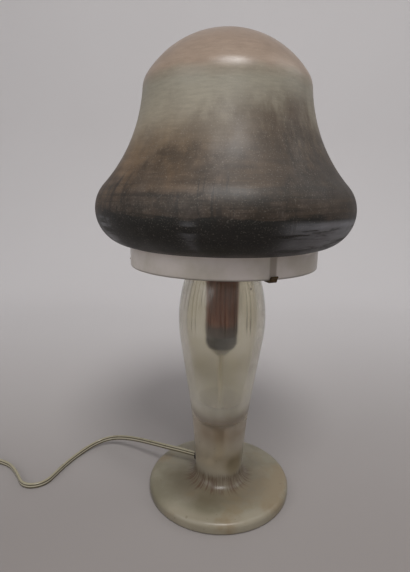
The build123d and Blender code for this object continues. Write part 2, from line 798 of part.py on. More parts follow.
# ---- Free cord from the bush over the table to the in-line switch ----
lie = flex_width / 2
switch_mouth = switch_centre[0] + switch_length / 2
run_route = [
    bush_mouth,
    polar(bush_face + 13, cord_hole_azimuth - 1, cord_hole_height),
    (-48.5, 20.5, 23.2),
    (-65.0, 31.5, 20.4),
    (-81.5, 43.5, 16.4),
    (-96.5, 53.0, 12.0),
    (-108.5, 57.2, 8.6),
    (-119.5, 55.4, 5.8),
    (-129.0, 47.8, 3.8),
    (-137.6, 35.5, lie),
    (-144.0, 21.5, lie),
    (-148.4, 8.0, lie),
    (-152.0, -3.2, lie),
    (-158.0, -8.6, lie),
    (-166.0, -10.3, lie),
    (-173.8, -7.2, lie),
    (-179.6, 0.9, lie),
    (-186.4, 9.6, lie),
    (-194.2, 17.8, lie),
    (-202.5, 22.4, lie),
    (-211.5, 24.6, lie + 1.4),
    (-219.5, 25.8, lie + 4.0),
    (-227.0, 26.2, switch_split - 0.3),
    (switch_mouth, switch_centre[1], switch_split),
]
run_path = free_path(run_route)
cord_run = flex_along(run_path, (0, 0, 1))
finish(cord_run, "cord_run")

# ---- In-line switch: two shells, a rocker on trunnions, and the screws that hold the shells ----
screw_places = [(-switch_screw_spacing / 2, 0), (switch_screw_spacing / 2, 0)]
with BuildSketch() as switch_plan:
    with BuildLine():
        end, half_end = switch_length / 2, switch_end_width / 2
        front = ThreePointArc((-end, -half_end), (0, -switch_width / 2), (end, -half_end))
        back = ThreePointArc((end, half_end), (0, switch_width / 2), (-end, half_end))
        Line(front @ 1, back @ 0)
        Line(back @ 1, front @ 0)
    make_face()
    fillet(switch_plan.vertices(), switch_corner_round)

with BuildPart() as switch_base:
    with BuildSketch(Plane(origin=(*switch_centre, 0))):
        add(switch_plan.sketch)
    extrude(amount=switch_split)
    fillet(switch_base.edges().group_by(Axis.Z)[0], switch_round)
    with BuildSketch(Plane(origin=(*switch_centre, 0))):
        with Locations(*screw_places):
            Circle(switch_screw_radius + tube_fit)
    extrude(amount=switch_split, mode=Mode.SUBTRACT)
    with BuildSketch(Plane(origin=(*switch_centre, 0))):
        with Locations(*screw_places):
            Circle(screw_head_radius + flex_fit)
    extrude(amount=screw_sink, mode=Mode.SUBTRACT)
finish(switch_base, "switch_base")

pivot = (*switch_centre, rocker_pivot_height)
screw_top = switch_split + screw_bite
with BuildPart() as switch_cover:
    with BuildSketch(Plane(origin=(*switch_centre, switch_split))):
        add(switch_plan.sketch)
    extrude(amount=switch_height - switch_split)
    fillet(switch_cover.edges().group_by(Axis.Z)[-1], switch_round)
    with BuildSketch(Plane(origin=(*switch_centre, switch_split))):
        Rectangle(rocker_length + 2 * rocker_gap, rocker_width + 2 * rocker_gap)
    extrude(amount=switch_height, mode=Mode.SUBTRACT)
    with BuildSketch(Plane(origin=pivot, z_dir=(0, 1, 0))):
        Circle(trunnion_radius + trunnion_fit)
    extrude(
        amount=rocker_width / 2 + trunnion_length + rocker_gap, both=True, mode=Mode.SUBTRACT
    )
    with BuildSketch(Plane(origin=(*switch_centre, switch_split))):
        with Locations(*screw_places):
            Circle(switch_screw_radius)
    extrude(amount=screw_bite, mode=Mode.SUBTRACT)
finish(switch_cover, "switch_cover")

with BuildPart() as switch_screws:
    with BuildSketch(Plane(origin=(*switch_centre, screw_sink))):
        with Locations(*screw_places):
            Circle(switch_screw_radius)
    extrude(amount=screw_top - screw_sink)
    with BuildSketch(Plane(origin=(*switch_centre, screw_sink))):
        with Locations(*screw_places):
            Circle(screw_head_radius)
    extrude(amount=-screw_head_height)
    with BuildSketch(Plane(origin=(*switch_centre, screw_sink - screw_head_height))):
        with Locations(*screw_places):
            Rectangle(2 * screw_head_radius, slot_width)
    extrude(amount=slot_depth, mode=Mode.SUBTRACT)
finish(switch_screws, "switch_screws")

# The rocker's ends are part of one circle about its pivot, so they sweep clear of the pocket.
wing = rocker_length / 2
wing_top = rocker_crest + wing * math.tan(to_radians(rocker_tilt))
with BuildPart() as switch_rocker:
    with BuildSketch(Plane(origin=pivot, x_dir=(1, 0, 0), z_dir=(0, -1, 0))):
        with BuildLine():
            Polyline(
                (-wing, -rocker_depth), (wing, -rocker_depth), (wing, wing_top),
                (0, rocker_crest), (-wing, wing_top), close=True,
            )
        make_face()
        Circle(wing, mode=Mode.INTERSECT)
    extrude(amount=rocker_width / 2, both=True)
    with BuildSketch(Plane(origin=pivot, z_dir=(0, 1, 0))):
        Circle(trunnion_radius)
    extrude(amount=rocker_width / 2 + trunnion_length, both=True)
switch_rocker.part = switch_rocker.part.rotate(Axis(pivot, (0, 1, 0)), -rocker_tilt)
finish(switch_rocker, "switch_rocker")

# ---- Link from the switch to the coil ----
coil_step = flex_thickness + coil_gap
coil_layer = flex_width + coil_gap
low_layer = tie_thickness + tie_gap + flex_width / 2
high_layer = low_layer + coil_layer
coil_x, coil_y = coil_entry
lead_in = flex_width  # the coil's ends run straight for one width
link_start = switch_centre[0] - switch_length / 2
link_route = [
    (link_start, switch_centre[1], switch_split),
    (link_start - 7.4, switch_centre[1], switch_split),
    (link_start - 14.2, 23.2, 7.6),
    (link_start - 19.5, 17.9, 6.3),
    (coil_x - 0.2, 11.0, 5.2),
    (coil_x - 0.7, 2.2, 4.3),
    (coil_x - 0.3, -8.0, low_layer + 0.2),
    (coil_x, -17.6, low_layer),
    (coil_x, coil_y + lead_in, low_layer),
]
link_path = free_path(link_route)
cord_link = flex_along(link_path, (0, 0, 1))
finish(cord_link, "cord_link")

# ---- Tail from the coil to the plug ----
tail_route = [
    (coil_x, coil_y - lead_in, high_layer),
    (coil_x, coil_y - 13.6, high_layer),
    (coil_x + 1.2, coil_y - 24.0, 6.9),
    (coil_x + 5.4, coil_y - 36.0, 4.0),
    (coil_x + 13.2, coil_y - 47.0, 2.7),
    (coil_x + 24.4, coil_y - 55.6, lie),
    (coil_x + 36.4, plug_place[1] + 0.4, 3.3),
    (coil_x + 47.2, plug_place[1], plug_thickness / 2 - 0.6),
    (*plug_place, plug_thickness / 2),
]
tail_path = free_path(tail_route)
cord_tail = flex_along(tail_path, (0, 0, 1))
finish(cord_tail, "cord_tail")

# ---- Put-away coil: two layers, spiralling in, climbing at the innermost turn, and out again ----
coil_cord = cord_length - run_path.length - switch_length - link_path.length - tail_path.length
mean_radius = (coil_cord - 2 * lead_in) / (2 * math.pi * coil_turns)
outer_radius = mean_radius + coil_step * coil_turns / 4
coil_centre = (coil_x + outer_radius, coil_y)


def coil_place(turns):
    """A point of the coil and its tangent there, after so many turns from its entry."""
    azimuth = 180 + 360 * turns
    radius = outer_radius - coil_step * min(turns, coil_turns - turns)
    around, outward = Vector(*polar(1, azimuth + 90)), Vector(*polar(1, azimuth))
    climb = min(max(0.5 + (turns - coil_turns / 2) / climb_turns, 0), 1)
    height = low_layer + coil_layer * climb**2 * (3 - 2 * climb)
    steady = 0 < turns < coil_turns and turns != coil_turns / 2
    rate = math.copysign(coil_step, turns - coil_turns / 2) if steady else 0
    rise = coil_layer * 6 * climb * (1 - climb) / climb_turns
    tangent = around * 2 * math.pi * radius + outward * rate + Vector(0, 0, rise)
    return Vector(*coil_centre, height) + outward * radius, tangent.normalized()


def biarc(start, end):
    """Two arcs that join two places and share a tangent where they meet."""
    (p0, t0), (p1, t1) = start, end
    v, both = p1 - p0, t0 + t1
    square = 2 * (1 - t0.dot(t1))
    reach = (-v.dot(both) + math.sqrt(v.dot(both) ** 2 + square * v.dot(v))) / square
    joint = (p0 + t0 * reach + p1 - t1 * reach) * 0.5
    return [TangentArc(p0, joint, tangent=t0), TangentArc(p1, joint, tangent=-t1)]


# Half turns, and quarter turns while the cord climbs.
half_turns = [k / 2 for k in range(int(2 * coil_turns) + 1)]
coil_nodes = sorted({*half_turns, coil_turns / 2 - 0.25, coil_turns / 2 + 0.25})
coil_places = [coil_place(turns) for turns in coil_nodes]
with BuildLine() as line:
    entry, leave = coil_places[0][0], coil_places[-1][0]
    Line(entry + Vector(0, lead_in, 0), entry)
    for start, end in zip(coil_places, coil_places[1:]):
        biarc(start, end)
    Line(leave, leave - Vector(0, lead_in, 0))
coil_path = line.wires()[0]
cord_coil = flex_along(coil_path, (0, 0, 1))
finish(cord_coil, "cord_coil")
print(f"coil {2 * mean_radius:.1f} mm across at the middle of its turns")

# The least gap of the coil to itself: its section is a round-ended slot that stands upright.
samples = [coil_path @ (k / coil_samples) for k in range(coil_samples + 1)]
apart = int(coil_samples / coil_turns / 2)
straight_half = (flex_width - flex_thickness) / 2
least = coil_layer
for k, here in enumerate(samples):
    for there in samples[k + apart:]:
        level = math.hypot(here.X - there.X, here.Y - there.Y)
        if level < 2 * coil_step:
            drop = max(0, abs(here.Z - there.Z) - 2 * straight_half)
            least = min(least, math.hypot(level, drop) - flex_thickness)
print(f"coil's least gap to itself {least:.2f} mm")

# ---- Tie: a soft band round the coil's turns on one side ----
tie_inner = outer_radius - coil_step * coil_turns / 2 - flex_thickness / 2 - tie_slack
tie_outer = outer_radius + flex_thickness / 2 + tie_slack
tie_middle = (tie_inner + tie_outer) / 2
tie_height = high_layer + flex_width / 2 + tie_gap + tie_thickness
tie_plane = Plane(
    origin=(*coil_centre, tie_height / 2), x_dir=polar(1, tie_azimuth),
    z_dir=polar(1, tie_azimuth - 90),
)
with BuildPart() as coil_tie:
    with BuildSketch(tie_plane):
        with Locations((tie_middle, 0)):
            RectangleRounded(
                tie_outer - tie_inner + 2 * tie_thickness, tie_height, tie_round + tie_thickness
            )
            RectangleRounded(
                tie_outer - tie_inner, tie_height - 2 * tie_thickness, tie_round,
                mode=Mode.SUBTRACT,
            )
    extrude(amount=tie_width / 2, both=True)
finish(coil_tie, "coil_tie")

# ---- Plug: strain relief, body, and two pins with sleeves ----
plug_start = (*plug_place, plug_thickness / 2)
along_plug = Plane(origin=plug_start, x_dir=(1, 0, 0), z_dir=(0, -1, 0))
rib_pitch = relief_length / (relief_rib_count + 1)
with BuildPart() as plug_relief:
    with BuildSketch(along_plug):
        with BuildLine():
            Polyline(
                (0, 0), (0, relief_tip_radius), (relief_length, relief_root_radius),
                (relief_length, 0), close=True,
            )
        make_face()
        for rib in range(1, relief_rib_count + 1):
            slope = (relief_root_radius - relief_tip_radius) / relief_length
            with Locations((rib * rib_pitch, relief_tip_radius + slope * rib * rib_pitch)):
                Rectangle(rib_pitch / 2, 2 * relief_groove, mode=Mode.SUBTRACT)
    revolve(axis=Axis(plug_start, (1, 0, 0)))
finish(plug_relief, "plug_relief")

body_start = plug_place[0] + relief_length
with BuildPart() as plug_body:
    with BuildSketch(Plane(origin=(body_start, plug_place[1], 0))) as shape:
        with BuildLine():
            tail, front = plug_tail_width / 2, plug_width / 2
            flare = plug_length - plug_face_length
            Polyline(
                (0, tail), (0, -tail), (flare, -front), (plug_length, -front),
                (plug_length, front), (flare, front), close=True,
            )
        make_face()
        fillet(shape.vertices().group_by(Axis.X)[1], plug_flare_round)
    extrude(amount=plug_thickness)
    fillet(plug_body.edges().filter_by(Axis.Z), plug_round)
    fillet(plug_body.edges().group_by(Axis.Z)[0], plug_round)
    fillet(plug_body.edges().group_by(Axis.Z)[-1], plug_round)
finish(plug_body, "plug_body")

pin_plane = Plane(
    origin=(body_start + plug_length, plug_place[1], plug_thickness / 2), x_dir=(0, 1, 0),
    z_dir=(1, 0, 0),
)
with BuildPart() as pin_sleeves:
    with BuildSketch(pin_plane):
        with GridLocations(pin_spacing, 0, 2, 1):
            Circle(pin_sleeve_radius)
            Circle(pin_core_radius, mode=Mode.SUBTRACT)
    extrude(amount=pin_sleeve_length)
finish(pin_sleeves, "pin_sleeves")

with BuildPart() as plug_pins:
    with BuildSketch(pin_plane):
        with GridLocations(pin_spacing, 0, 2, 1):
            Circle(pin_core_radius)
    extrude(amount=pin_sleeve_length)
    with BuildSketch(pin_plane.offset(pin_sleeve_length)):
        with GridLocations(pin_spacing, 0, 2, 1):
            Circle(pin_radius)
    extrude(amount=pin_length - pin_sleeve_length)
    chamfer(plug_pins.edges().group_by(Axis.X)[-1], pin_chamfer)
finish(plug_pins, "plug_pins")
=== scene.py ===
# Mushroom table lamp, a painted bell shade on a frosted glass base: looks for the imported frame.
from math import atan2, cos, pi, radians, sin, sqrt

import bpy
from mathutils import Matrix, Vector


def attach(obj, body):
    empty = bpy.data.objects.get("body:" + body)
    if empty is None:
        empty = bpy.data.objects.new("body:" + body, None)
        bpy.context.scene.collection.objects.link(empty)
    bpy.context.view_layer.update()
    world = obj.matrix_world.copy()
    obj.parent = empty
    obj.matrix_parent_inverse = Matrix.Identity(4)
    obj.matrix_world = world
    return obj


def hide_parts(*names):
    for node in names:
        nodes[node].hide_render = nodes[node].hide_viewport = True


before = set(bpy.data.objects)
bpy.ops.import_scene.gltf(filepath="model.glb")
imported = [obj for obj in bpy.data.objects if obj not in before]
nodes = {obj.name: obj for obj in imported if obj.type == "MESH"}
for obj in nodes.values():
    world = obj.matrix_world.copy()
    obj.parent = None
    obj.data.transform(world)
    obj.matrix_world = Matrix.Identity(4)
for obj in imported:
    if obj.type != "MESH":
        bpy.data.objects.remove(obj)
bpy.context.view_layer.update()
bpy.ops.object.select_all(action="DESELECT")
print("frame loaded:", len(nodes), "nodes")

# camera, as the photograph was taken: close, a little above the shade's rim
view = {
    "place": (-0.0143, -0.3420, 0.2558),  # metres
    "lookDown": 12.23,  # degrees
    "roll": 0.78,
    "lens": 27.15,  # mm
    "sensor": 36.0,
    "nearest": 0.01,  # metres
}
bpy.ops.object.camera_add(location=view["place"])
camera = bpy.context.object
camera.name = "photoCamera"
camera.data.lens, camera.data.sensor_width = view["lens"], view["sensor"]
camera.data.clip_start = view["nearest"]
camera.matrix_world = (
    Matrix.Translation(view["place"])
    @ Matrix.Rotation(radians(90 - view["lookDown"]), 4, "X")
    @ Matrix.Rotation(radians(view["roll"]), 4, "Z")
)
bpy.context.scene.camera = camera
bpy.context.scene.view_settings.view_transform = "Standard"
print("camera placed")


# node helpers: those that make nodes return the socket that carries the result
def paint(red, green, blue):
    # a screen colour, 0 to 255, as the linear one that a socket takes
    parts = [part / 255 for part in (red, green, blue)]
    return (*[p / 12.92 if p <= 0.04045 else ((p + 0.055) / 1.055) ** 2.4 for p in parts], 1)


def newFinish(name, colour=(128, 128, 128), **sockets):
    finish = bpy.data.materials.new(name)
    finish.use_nodes = True
    shader = finish.node_tree.nodes["Principled BSDF"]
    shader.inputs["Base Color"].default_value = paint(*colour)
    for socket, value in sockets.items():
        shader.inputs[socket.replace("_", " ")].default_value = value
    return finish, finish.node_tree, shader


def plug(tree, node, socket, value):
    if isinstance(value, bpy.types.NodeSocket):
        tree.links.new(value, node.inputs[socket])
    else:
        node.inputs[socket].default_value = value


def calc(tree, operation, first, second, clamp=False):
    node = tree.nodes.new("ShaderNodeMath")
    node.operation, node.use_clamp = operation, clamp
    plug(tree, node, 0, first)
    plug(tree, node, 1, second)
    return node.outputs[0]


def plus(tree, first, second):
    return calc(tree, "ADD", first, second)


def minus(tree, first, second):
    return calc(tree, "SUBTRACT", first, second)


def times(tree, first, *factors):
    for factor in factors:
        first = calc(tree, "MULTIPLY", first, factor)
    return first


def swing(tree, value, size):
    # a value that runs from 0 to 1, made to swing about nought
    return times(tree, minus(tree, value, 0.5), size)


def between(tree, value, low, high, least=0.0, most=1.0):
    # least where value is low, most where it is high, and an even turn from one to the other
    node = tree.nodes.new("ShaderNodeMapRange")
    node.interpolation_type = "SMOOTHSTEP"
    for socket, amount in (("Value", value), ("From Min", low), ("From Max", high),
                           ("To Min", least), ("To Max", most)):
        plug(tree, node, socket, amount)
    return node.outputs["Result"]


def cloud(tree, where, scale, detail=3.0, roughness=0.5, distortion=0.0):
    node = tree.nodes.new("ShaderNodeTexNoise")
    plug(tree, node, "Vector", where)
    for socket, amount in (("Scale", scale), ("Detail", detail), ("Roughness", roughness),
                           ("Distortion", distortion)):
        plug(tree, node, socket, amount)
    return node.outputs["Fac"]


def stretched(tree, where, scale, shift=(0, 0, 0)):
    node = tree.nodes.new("ShaderNodeMapping")
    plug(tree, node, "Vector", where)
    plug(tree, node, "Scale", scale)
    plug(tree, node, "Location", shift)
    return node.outputs["Vector"]


def blend(tree, amount, first, second, kind="MIX"):
    node = tree.nodes.new("ShaderNodeMix")
    node.data_type, node.blend_type, node.clamp_factor = "RGBA", kind, True
    plug(tree, node, 0, amount)
    plug(tree, node, 6, first)
    plug(tree, node, 7, second)
    return node.outputs[2]


def brushed(tree, colour, amount, tone):
    # a paint laid over a colour, by an amount from 0 to 1
    return blend(tree, amount, colour, paint(*tone))


def colourSteps(tree, value, steps):
    node = tree.nodes.new("ShaderNodeValToRGB")
    plug(tree, node, "Fac", value)
    ramp = node.color_ramp
    while len(ramp.elements) < len(steps):
        ramp.elements.new(0.5)
    for element, (position, colour) in zip(ramp.elements, steps):
        element.position, element.color = position, paint(*colour)
    return node.outputs["Color"]


def objectPlace(tree):
    return tree.nodes.new("ShaderNodeTexCoord").outputs["Object"]


def partsOf(tree, where):
    node = tree.nodes.new("ShaderNodeSeparateXYZ")
    plug(tree, node, 0, where)
    return node.outputs


def joined(tree, first, second, third):
    node = tree.nodes.new("ShaderNodeCombineXYZ")
    for socket, value in enumerate((first, second, third)):
        plug(tree, node, socket, value)
    return node.outputs[0]


def roundTheAxis(tree, where):
    # the direction from the lamp's axis, so that a pattern closes round the glass without a seam
    flat = tree.nodes.new("ShaderNodeVectorMath")
    flat.operation = "MULTIPLY"
    plug(tree, flat, 0, where)
    plug(tree, flat, 1, (1, 1, 0))
    unit = tree.nodes.new("ShaderNodeVectorMath")
    unit.operation = "NORMALIZE"
    plug(tree, unit, 0, flat.outputs[0])
    return unit.outputs[0]


def bumps(tree, shader, height, strength, distance):
    node = tree.nodes.new("ShaderNodeBump")
    plug(tree, node, "Height", height)
    node.inputs["Strength"].default_value = strength
    node.inputs["Distance"].default_value = distance
    plug(tree, shader, "Normal", node.outputs["Normal"])


# modelling helpers
def editAll(piece):
    bpy.ops.object.select_all(action="DESELECT")
    bpy.context.view_layer.objects.active = piece
    piece.select_set(True)
    bpy.ops.object.mode_set(mode="EDIT")
    bpy.ops.mesh.select_all(action="SELECT")


def backToObject():
    bpy.ops.object.mode_set(mode="OBJECT")


def smoothAll(piece, angle):
    bpy.ops.object.select_all(action="DESELECT")
    bpy.context.view_layer.objects.active = piece
    piece.select_set(True)
    bpy.ops.object.shade_smooth_by_angle(angle=radians(angle))


def applyLast(piece):
    bpy.context.view_layer.objects.active = piece
    bpy.ops.object.modifier_apply(modifier=piece.modifiers[-1].name)


def tangentArc(start, heading, end, count):
    # points of the arc that leaves start along heading and reaches end, and its heading there
    start, end, heading = Vector(start), Vector(end), Vector(heading).normalized()
    chord = end - start
    turn = 2 * (atan2(chord.y, chord.x) - atan2(heading.y, heading.x))
    turn = (turn + pi) % (2 * pi) - pi
    if abs(turn) < 1e-6:
        return [end], heading
    across = Vector((-heading.y, heading.x))
    centre = start + across * (chord.length_squared / (2 * chord.dot(across)))
    points = [centre + Matrix.Rotation(turn * k / count, 2) @ (start - centre)
              for k in range(1, count + 1)]
    return points, Matrix.Rotation(turn, 2) @ heading


def lathe(name, profile, steps):
    # one point drawn along the profile (mm from the axis, mm up), spun round the lamp's axis
    bpy.ops.object.select_all(action="DESELECT")
    bpy.ops.mesh.primitive_plane_add(size=0.001, location=(0, 0, 0))
    piece = bpy.context.object
    piece.name = piece.data.name = name
    editAll(piece)
    bpy.ops.mesh.merge(type="CENTER")
    places = [Vector((point[0] / 1000, 0, point[1] / 1000)) for point in profile]
    bpy.ops.transform.translate(value=places[0])
    for before, after in zip(places, places[1:]):
        bpy.ops.mesh.extrude_vertices_move(TRANSFORM_OT_translate={"value": after - before})
    bpy.ops.mesh.select_all(action="SELECT")
    bpy.ops.mesh.spin(steps=steps, angle=2 * pi, center=(0, 0, 0), axis=(0, 0, 1))
    bpy.ops.mesh.select_all(action="SELECT")
    bpy.ops.mesh.remove_doubles(threshold=1e-5)
    bpy.ops.mesh.normals_make_consistent(inside=False)
    backToObject()
    return piece


# twin flex: two stranded wires side by side in a clear sheath, standing on edge
flex = {
    "width": 5.0,  # mm
    "thickness": 2.6,
    "waist": 0.16,  # how far the sheath dips between its two cores
    "sides": 8,  # faces round each edge
    "smoothness": 7,  # rings to each step of its route
    "pattern": 20,  # lengths of the strands' pattern to a metre
    "smoothAngle": 60,  # degrees
}
runRoute = [  # mm, from the bush in the stem to the switch
    (-20.497, 7.993, 24), (-32.38, 13.28, 24), (-48.5, 20.5, 23.2), (-65, 31.5, 20.4),
    (-81.5, 43.5, 16.4), (-96.5, 53, 12), (-108.5, 57.2, 8.6), (-119.5, 55.4, 5.8),
    (-129, 47.8, 3.8), (-137.6, 35.5, 2.5), (-144, 21.5, 2.5), (-148.4, 8, 2.5),
    (-152, -3.2, 2.5), (-158, -8.6, 2.5), (-166, -10.3, 2.5), (-173.8, -7.2, 2.5),
    (-179.6, 0.9, 2.5), (-186.4, 9.6, 2.5), (-194.2, 17.8, 2.5), (-202.5, 22.4, 2.5),
    (-211.5, 24.6, 3.9), (-219.5, 25.8, 6.5), (-227, 26.2, 8.2), (-235, 26, 8.5),
]
linkRoute = [  # from the switch to the coil
    (-297, 26, 8.5), (-304.4, 26, 8.5), (-311.2, 23.2, 7.6), (-316.5, 17.9, 6.3),
    (-319.2, 11, 5.2), (-319.7, 2.2, 4.3), (-319.3, -8, 3.6), (-319, -17.6, 3.4),
]
tailRoute = [  # from the coil to the plug
    (-319, -45.6, 8.9), (-317.8, -56, 6.9), (-313.6, -68, 4), (-305.8, -79, 2.7),
    (-294.6, -87.6, 2.5), (-282.6, -91.6, 3.3), (-271.8, -92, 6.25), (-262, -92, 6.85),
]
coil = {
    "turns": 7,
    "outer": 34.68,  # mm, radius of the outermost turns
    "pitch": 3.1,
    "start": (-319, -32),  # where its first turn leaves and its last one ends
    "lowLayer": 3.4,  # mm up
    "highLayer": 8.9,
    "climb": (3.25, 3.75),  # turns over which it rises to the second layer
    "perTurn": 20,  # points
}


def coilRoute():
    # in from the outside on the lower layer, up, and out again on the upper one
    middle = Vector((coil["start"][0] + coil["outer"], coil["start"][1]))
    reach = 0.5 + 0.5 * cos(2 * pi / coil["perTurn"])
    points = []
    for k in range(1, coil["turns"] * coil["perTurn"]):
        turn = k / coil["perTurn"]
        radius = coil["outer"] - coil["pitch"] * min(turn, coil["turns"] - turn)
        radius /= 0.5 + 0.5 * reach  # the spline cuts inside its control points by this share
        low, high = coil["climb"]
        rise = min(1, max(0, (turn - low) / (high - low)))
        climbed = (coil["highLayer"] - coil["lowLayer"]) * rise * rise * (3 - 2 * rise)
        level = coil["lowLayer"] + climbed
        angle = pi + 2 * pi * turn
        points.append((middle.x + radius * cos(angle), middle.y + radius * sin(angle), level))
    return points


def makeFlex(name, route):
    # the route's spline, read as points, with the sheath's section set round each
    curve = bpy.data.curves.new(name + "Route", "CURVE")
    curve.dimensions, curve.resolution_u = "3D", flex["smoothness"]
    spline = curve.splines.new("NURBS")
    spline.points.add(len(route) - 1)
    for point, place in zip(spline.points, route):
        point.co = (*(part / 1000 for part in place), 1)
    spline.order_u = 3
    spline.use_endpoint_u = True
    guide = bpy.data.objects.new(name + "Route", curve)
    bpy.context.scene.collection.objects.link(guide)
    line = bpy.data.meshes.new_from_object(guide)
    points = [vertex.co.copy() for vertex in line.vertices]
    bpy.data.objects.remove(guide)

    half, lobe, sides = flex["width"] / 2, flex["thickness"] / 2, flex["sides"]
    section = [(half - lobe + lobe * sin(pi * k / sides), lobe * cos(pi * k / sides))
               for k in range(sides + 1)]
    section += [(0, flex["waist"] - lobe)]
    section += [(-u, -v) for u, v in section[:sides + 1]] + [(0, lobe - flex["waist"])]
    vertices, faces, along = [], [], [0.0]
    for before, here, after in zip([points[0]] + points, points, points[1:] + [points[-1]]):
        ahead = (after - before).normalized()
        aside = ahead.cross(Vector((0, 0, 1))).normalized()
        upright = aside.cross(ahead)
        vertices += [here + (upright * u + aside * v) / 1000 for u, v in section]
        along.append(along[-1] + (after - here).length)
    count = len(section)
    for ring in range(len(points) - 1):
        for k in range(count):
            first, second = ring * count + k, ring * count + (k + 1) % count
            faces.append((first, first + count, second + count, second))
    faces += [tuple(range(count)), tuple(reversed(range(len(vertices) - count, len(vertices))))]
    mesh = bpy.data.meshes.new(name)
    mesh.from_pydata(vertices, [], faces)
    layer = mesh.uv_layers.new(name="sheath")
    for face in mesh.polygons:
        for corner in face.loop_indices:
            ring, k = divmod(mesh.loops[corner].vertex_index, count)
            up = 0.5 + section[k][0] / flex["width"]
            layer.data[corner].uv = (along[ring] * flex["pattern"], up)
    piece = bpy.data.objects.new(name, mesh)
    bpy.context.scene.collection.objects.link(piece)
    editAll(piece)
    bpy.ops.mesh.normals_make_consistent(inside=False)
    backToObject()
    smoothAll(piece, flex["smoothAngle"])
    return piece, points


flexRun, runPoints = makeFlex("flexRun", runRoute)
flexLead, leadPoints = makeFlex("flexLead", linkRoute + coilRoute() + tailRoute)
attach(flexRun, "lamp")
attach(flexLead, "lamp")
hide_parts("cord_run")
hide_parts("cord_link", "cord_coil", "cord_tail")
print("flex laid:", len(runPoints) + len(leadPoints), "rings")

# shade: a collar, a full round bulge, a hollow flank and a shallow crown
shade = {
    "rim": 200.3,  # mm above the table
    "top": 368.6,
    "collarRadius": 73.0,
    "collarRound": 2.5,
    "bulgeAxis": 71.0,
    "bulgeHeight": 243.1,
    "bulgeRound": 27.0,
    "bulgeTurn": 42.0,  # degrees above level where the flank starts
    "shoulderRadius": 61.8,
    "shoulderHeight": 328.7,
    "shoulderRound": 18.8,
    "wall": 3.0,
    "rimRound": 1.2,
    "rimSegments": 4,
    "collarRings": (4, 3),  # mm from the collar's lower and upper end
    "arcSteps": (5, 34, 26, 14, 22),  # collar, bulge, flank, shoulder and crown
    "steps": 144,
    "smoothAngle": 50,  # degrees
    "centre": 310.0,  # mm up; above it outward is away from this place, below it away from the axis
}


def shadeSkin():
    # the shade's outside, from its rim up to the top
    collarSteps, bulgeSteps, flankSteps, shoulderSteps, crownSteps = shade["arcSteps"]
    lowRing, highRing = shade["collarRings"]
    bulge = Vector((shade["bulgeAxis"], shade["bulgeHeight"]))
    wide, turned = shade["bulgeRound"], radians(shade["bulgeTurn"])
    nearRound = shade["collarRadius"] + shade["collarRound"] - bulge.x
    drop = sqrt((wide + shade["collarRound"]) ** 2 - nearRound ** 2)
    toRound = Vector((nearRound, -drop))
    roundCentre = bulge + toRound
    rim = Vector((shade["collarRadius"], shade["rim"]))
    points = [rim, rim + Vector((0, lowRing)), Vector((rim.x, roundCentre.y - highRing)),
              Vector((rim.x, roundCentre.y))]
    meeting = bulge + toRound * (wide / (wide + shade["collarRound"]))
    points += tangentArc(points[-1], (0, 1), meeting, collarSteps)[0]
    leaving = Vector((-(meeting - bulge).y, (meeting - bulge).x))
    bulgeEnd = bulge + Vector((cos(turned), sin(turned))) * wide
    arc, heading = tangentArc(meeting, leaving, bulgeEnd, bulgeSteps)
    points += arc
    shoulderStart = Vector((shade["shoulderRadius"], shade["shoulderHeight"]))
    arc, heading = tangentArc(bulgeEnd, heading, shoulderStart, flankSteps)
    points += arc
    small = shade["shoulderRound"]
    centre = shoulderStart + Vector((-heading.y, heading.x)) * small
    fall = shade["top"] - centre.y
    crown = (centre.x ** 2 + fall ** 2 - small ** 2) / (2 * (fall - small))
    crownCentre = Vector((0, shade["top"] - crown))
    crownMeeting = crownCentre + (centre - crownCentre).normalized() * crown
    arc, heading = tangentArc(shoulderStart, heading, crownMeeting, shoulderSteps)
    points += arc
    points += tangentArc(crownMeeting, heading, (0, shade["top"]), crownSteps)[0]
    return points


bellShade = lathe("bellShade", shadeSkin(), shade["steps"])
thicken = bellShade.modifiers.new("wall", "SOLIDIFY")
thicken.thickness, thicken.offset = shade["wall"] / 1000, -1
applyLast(bellShade)
editAll(bellShade)
bpy.ops.mesh.select_all(action="DESELECT")
backToObject()
# the rim's outer and inner circle are rounded
rimLevel, close = shade["rim"] / 1000, 2e-4  # metres
for edge in bellShade.data.edges:
    ends = [bellShade.data.vertices[k].co for k in edge.vertices]
    onRim = all(abs(end.z - rimLevel) < close for end in ends)
    edge.select = onRim and abs(ends[0].xy.length - ends[1].xy.length) < close
bpy.ops.object.mode_set(mode="EDIT")
bpy.ops.mesh.select_mode(type="EDGE")
bpy.ops.mesh.bevel(offset=shade["rimRound"] / 1000, segments=shade["rimSegments"])
bpy.ops.mesh.select_mode(type="VERT")
backToObject()
smoothAll(bellShade, shade["smoothAngle"])
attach(bellShade, "shade")
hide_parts("glass_shade")
print("shade turned:", len(bellShade.data.polygons), "faces")

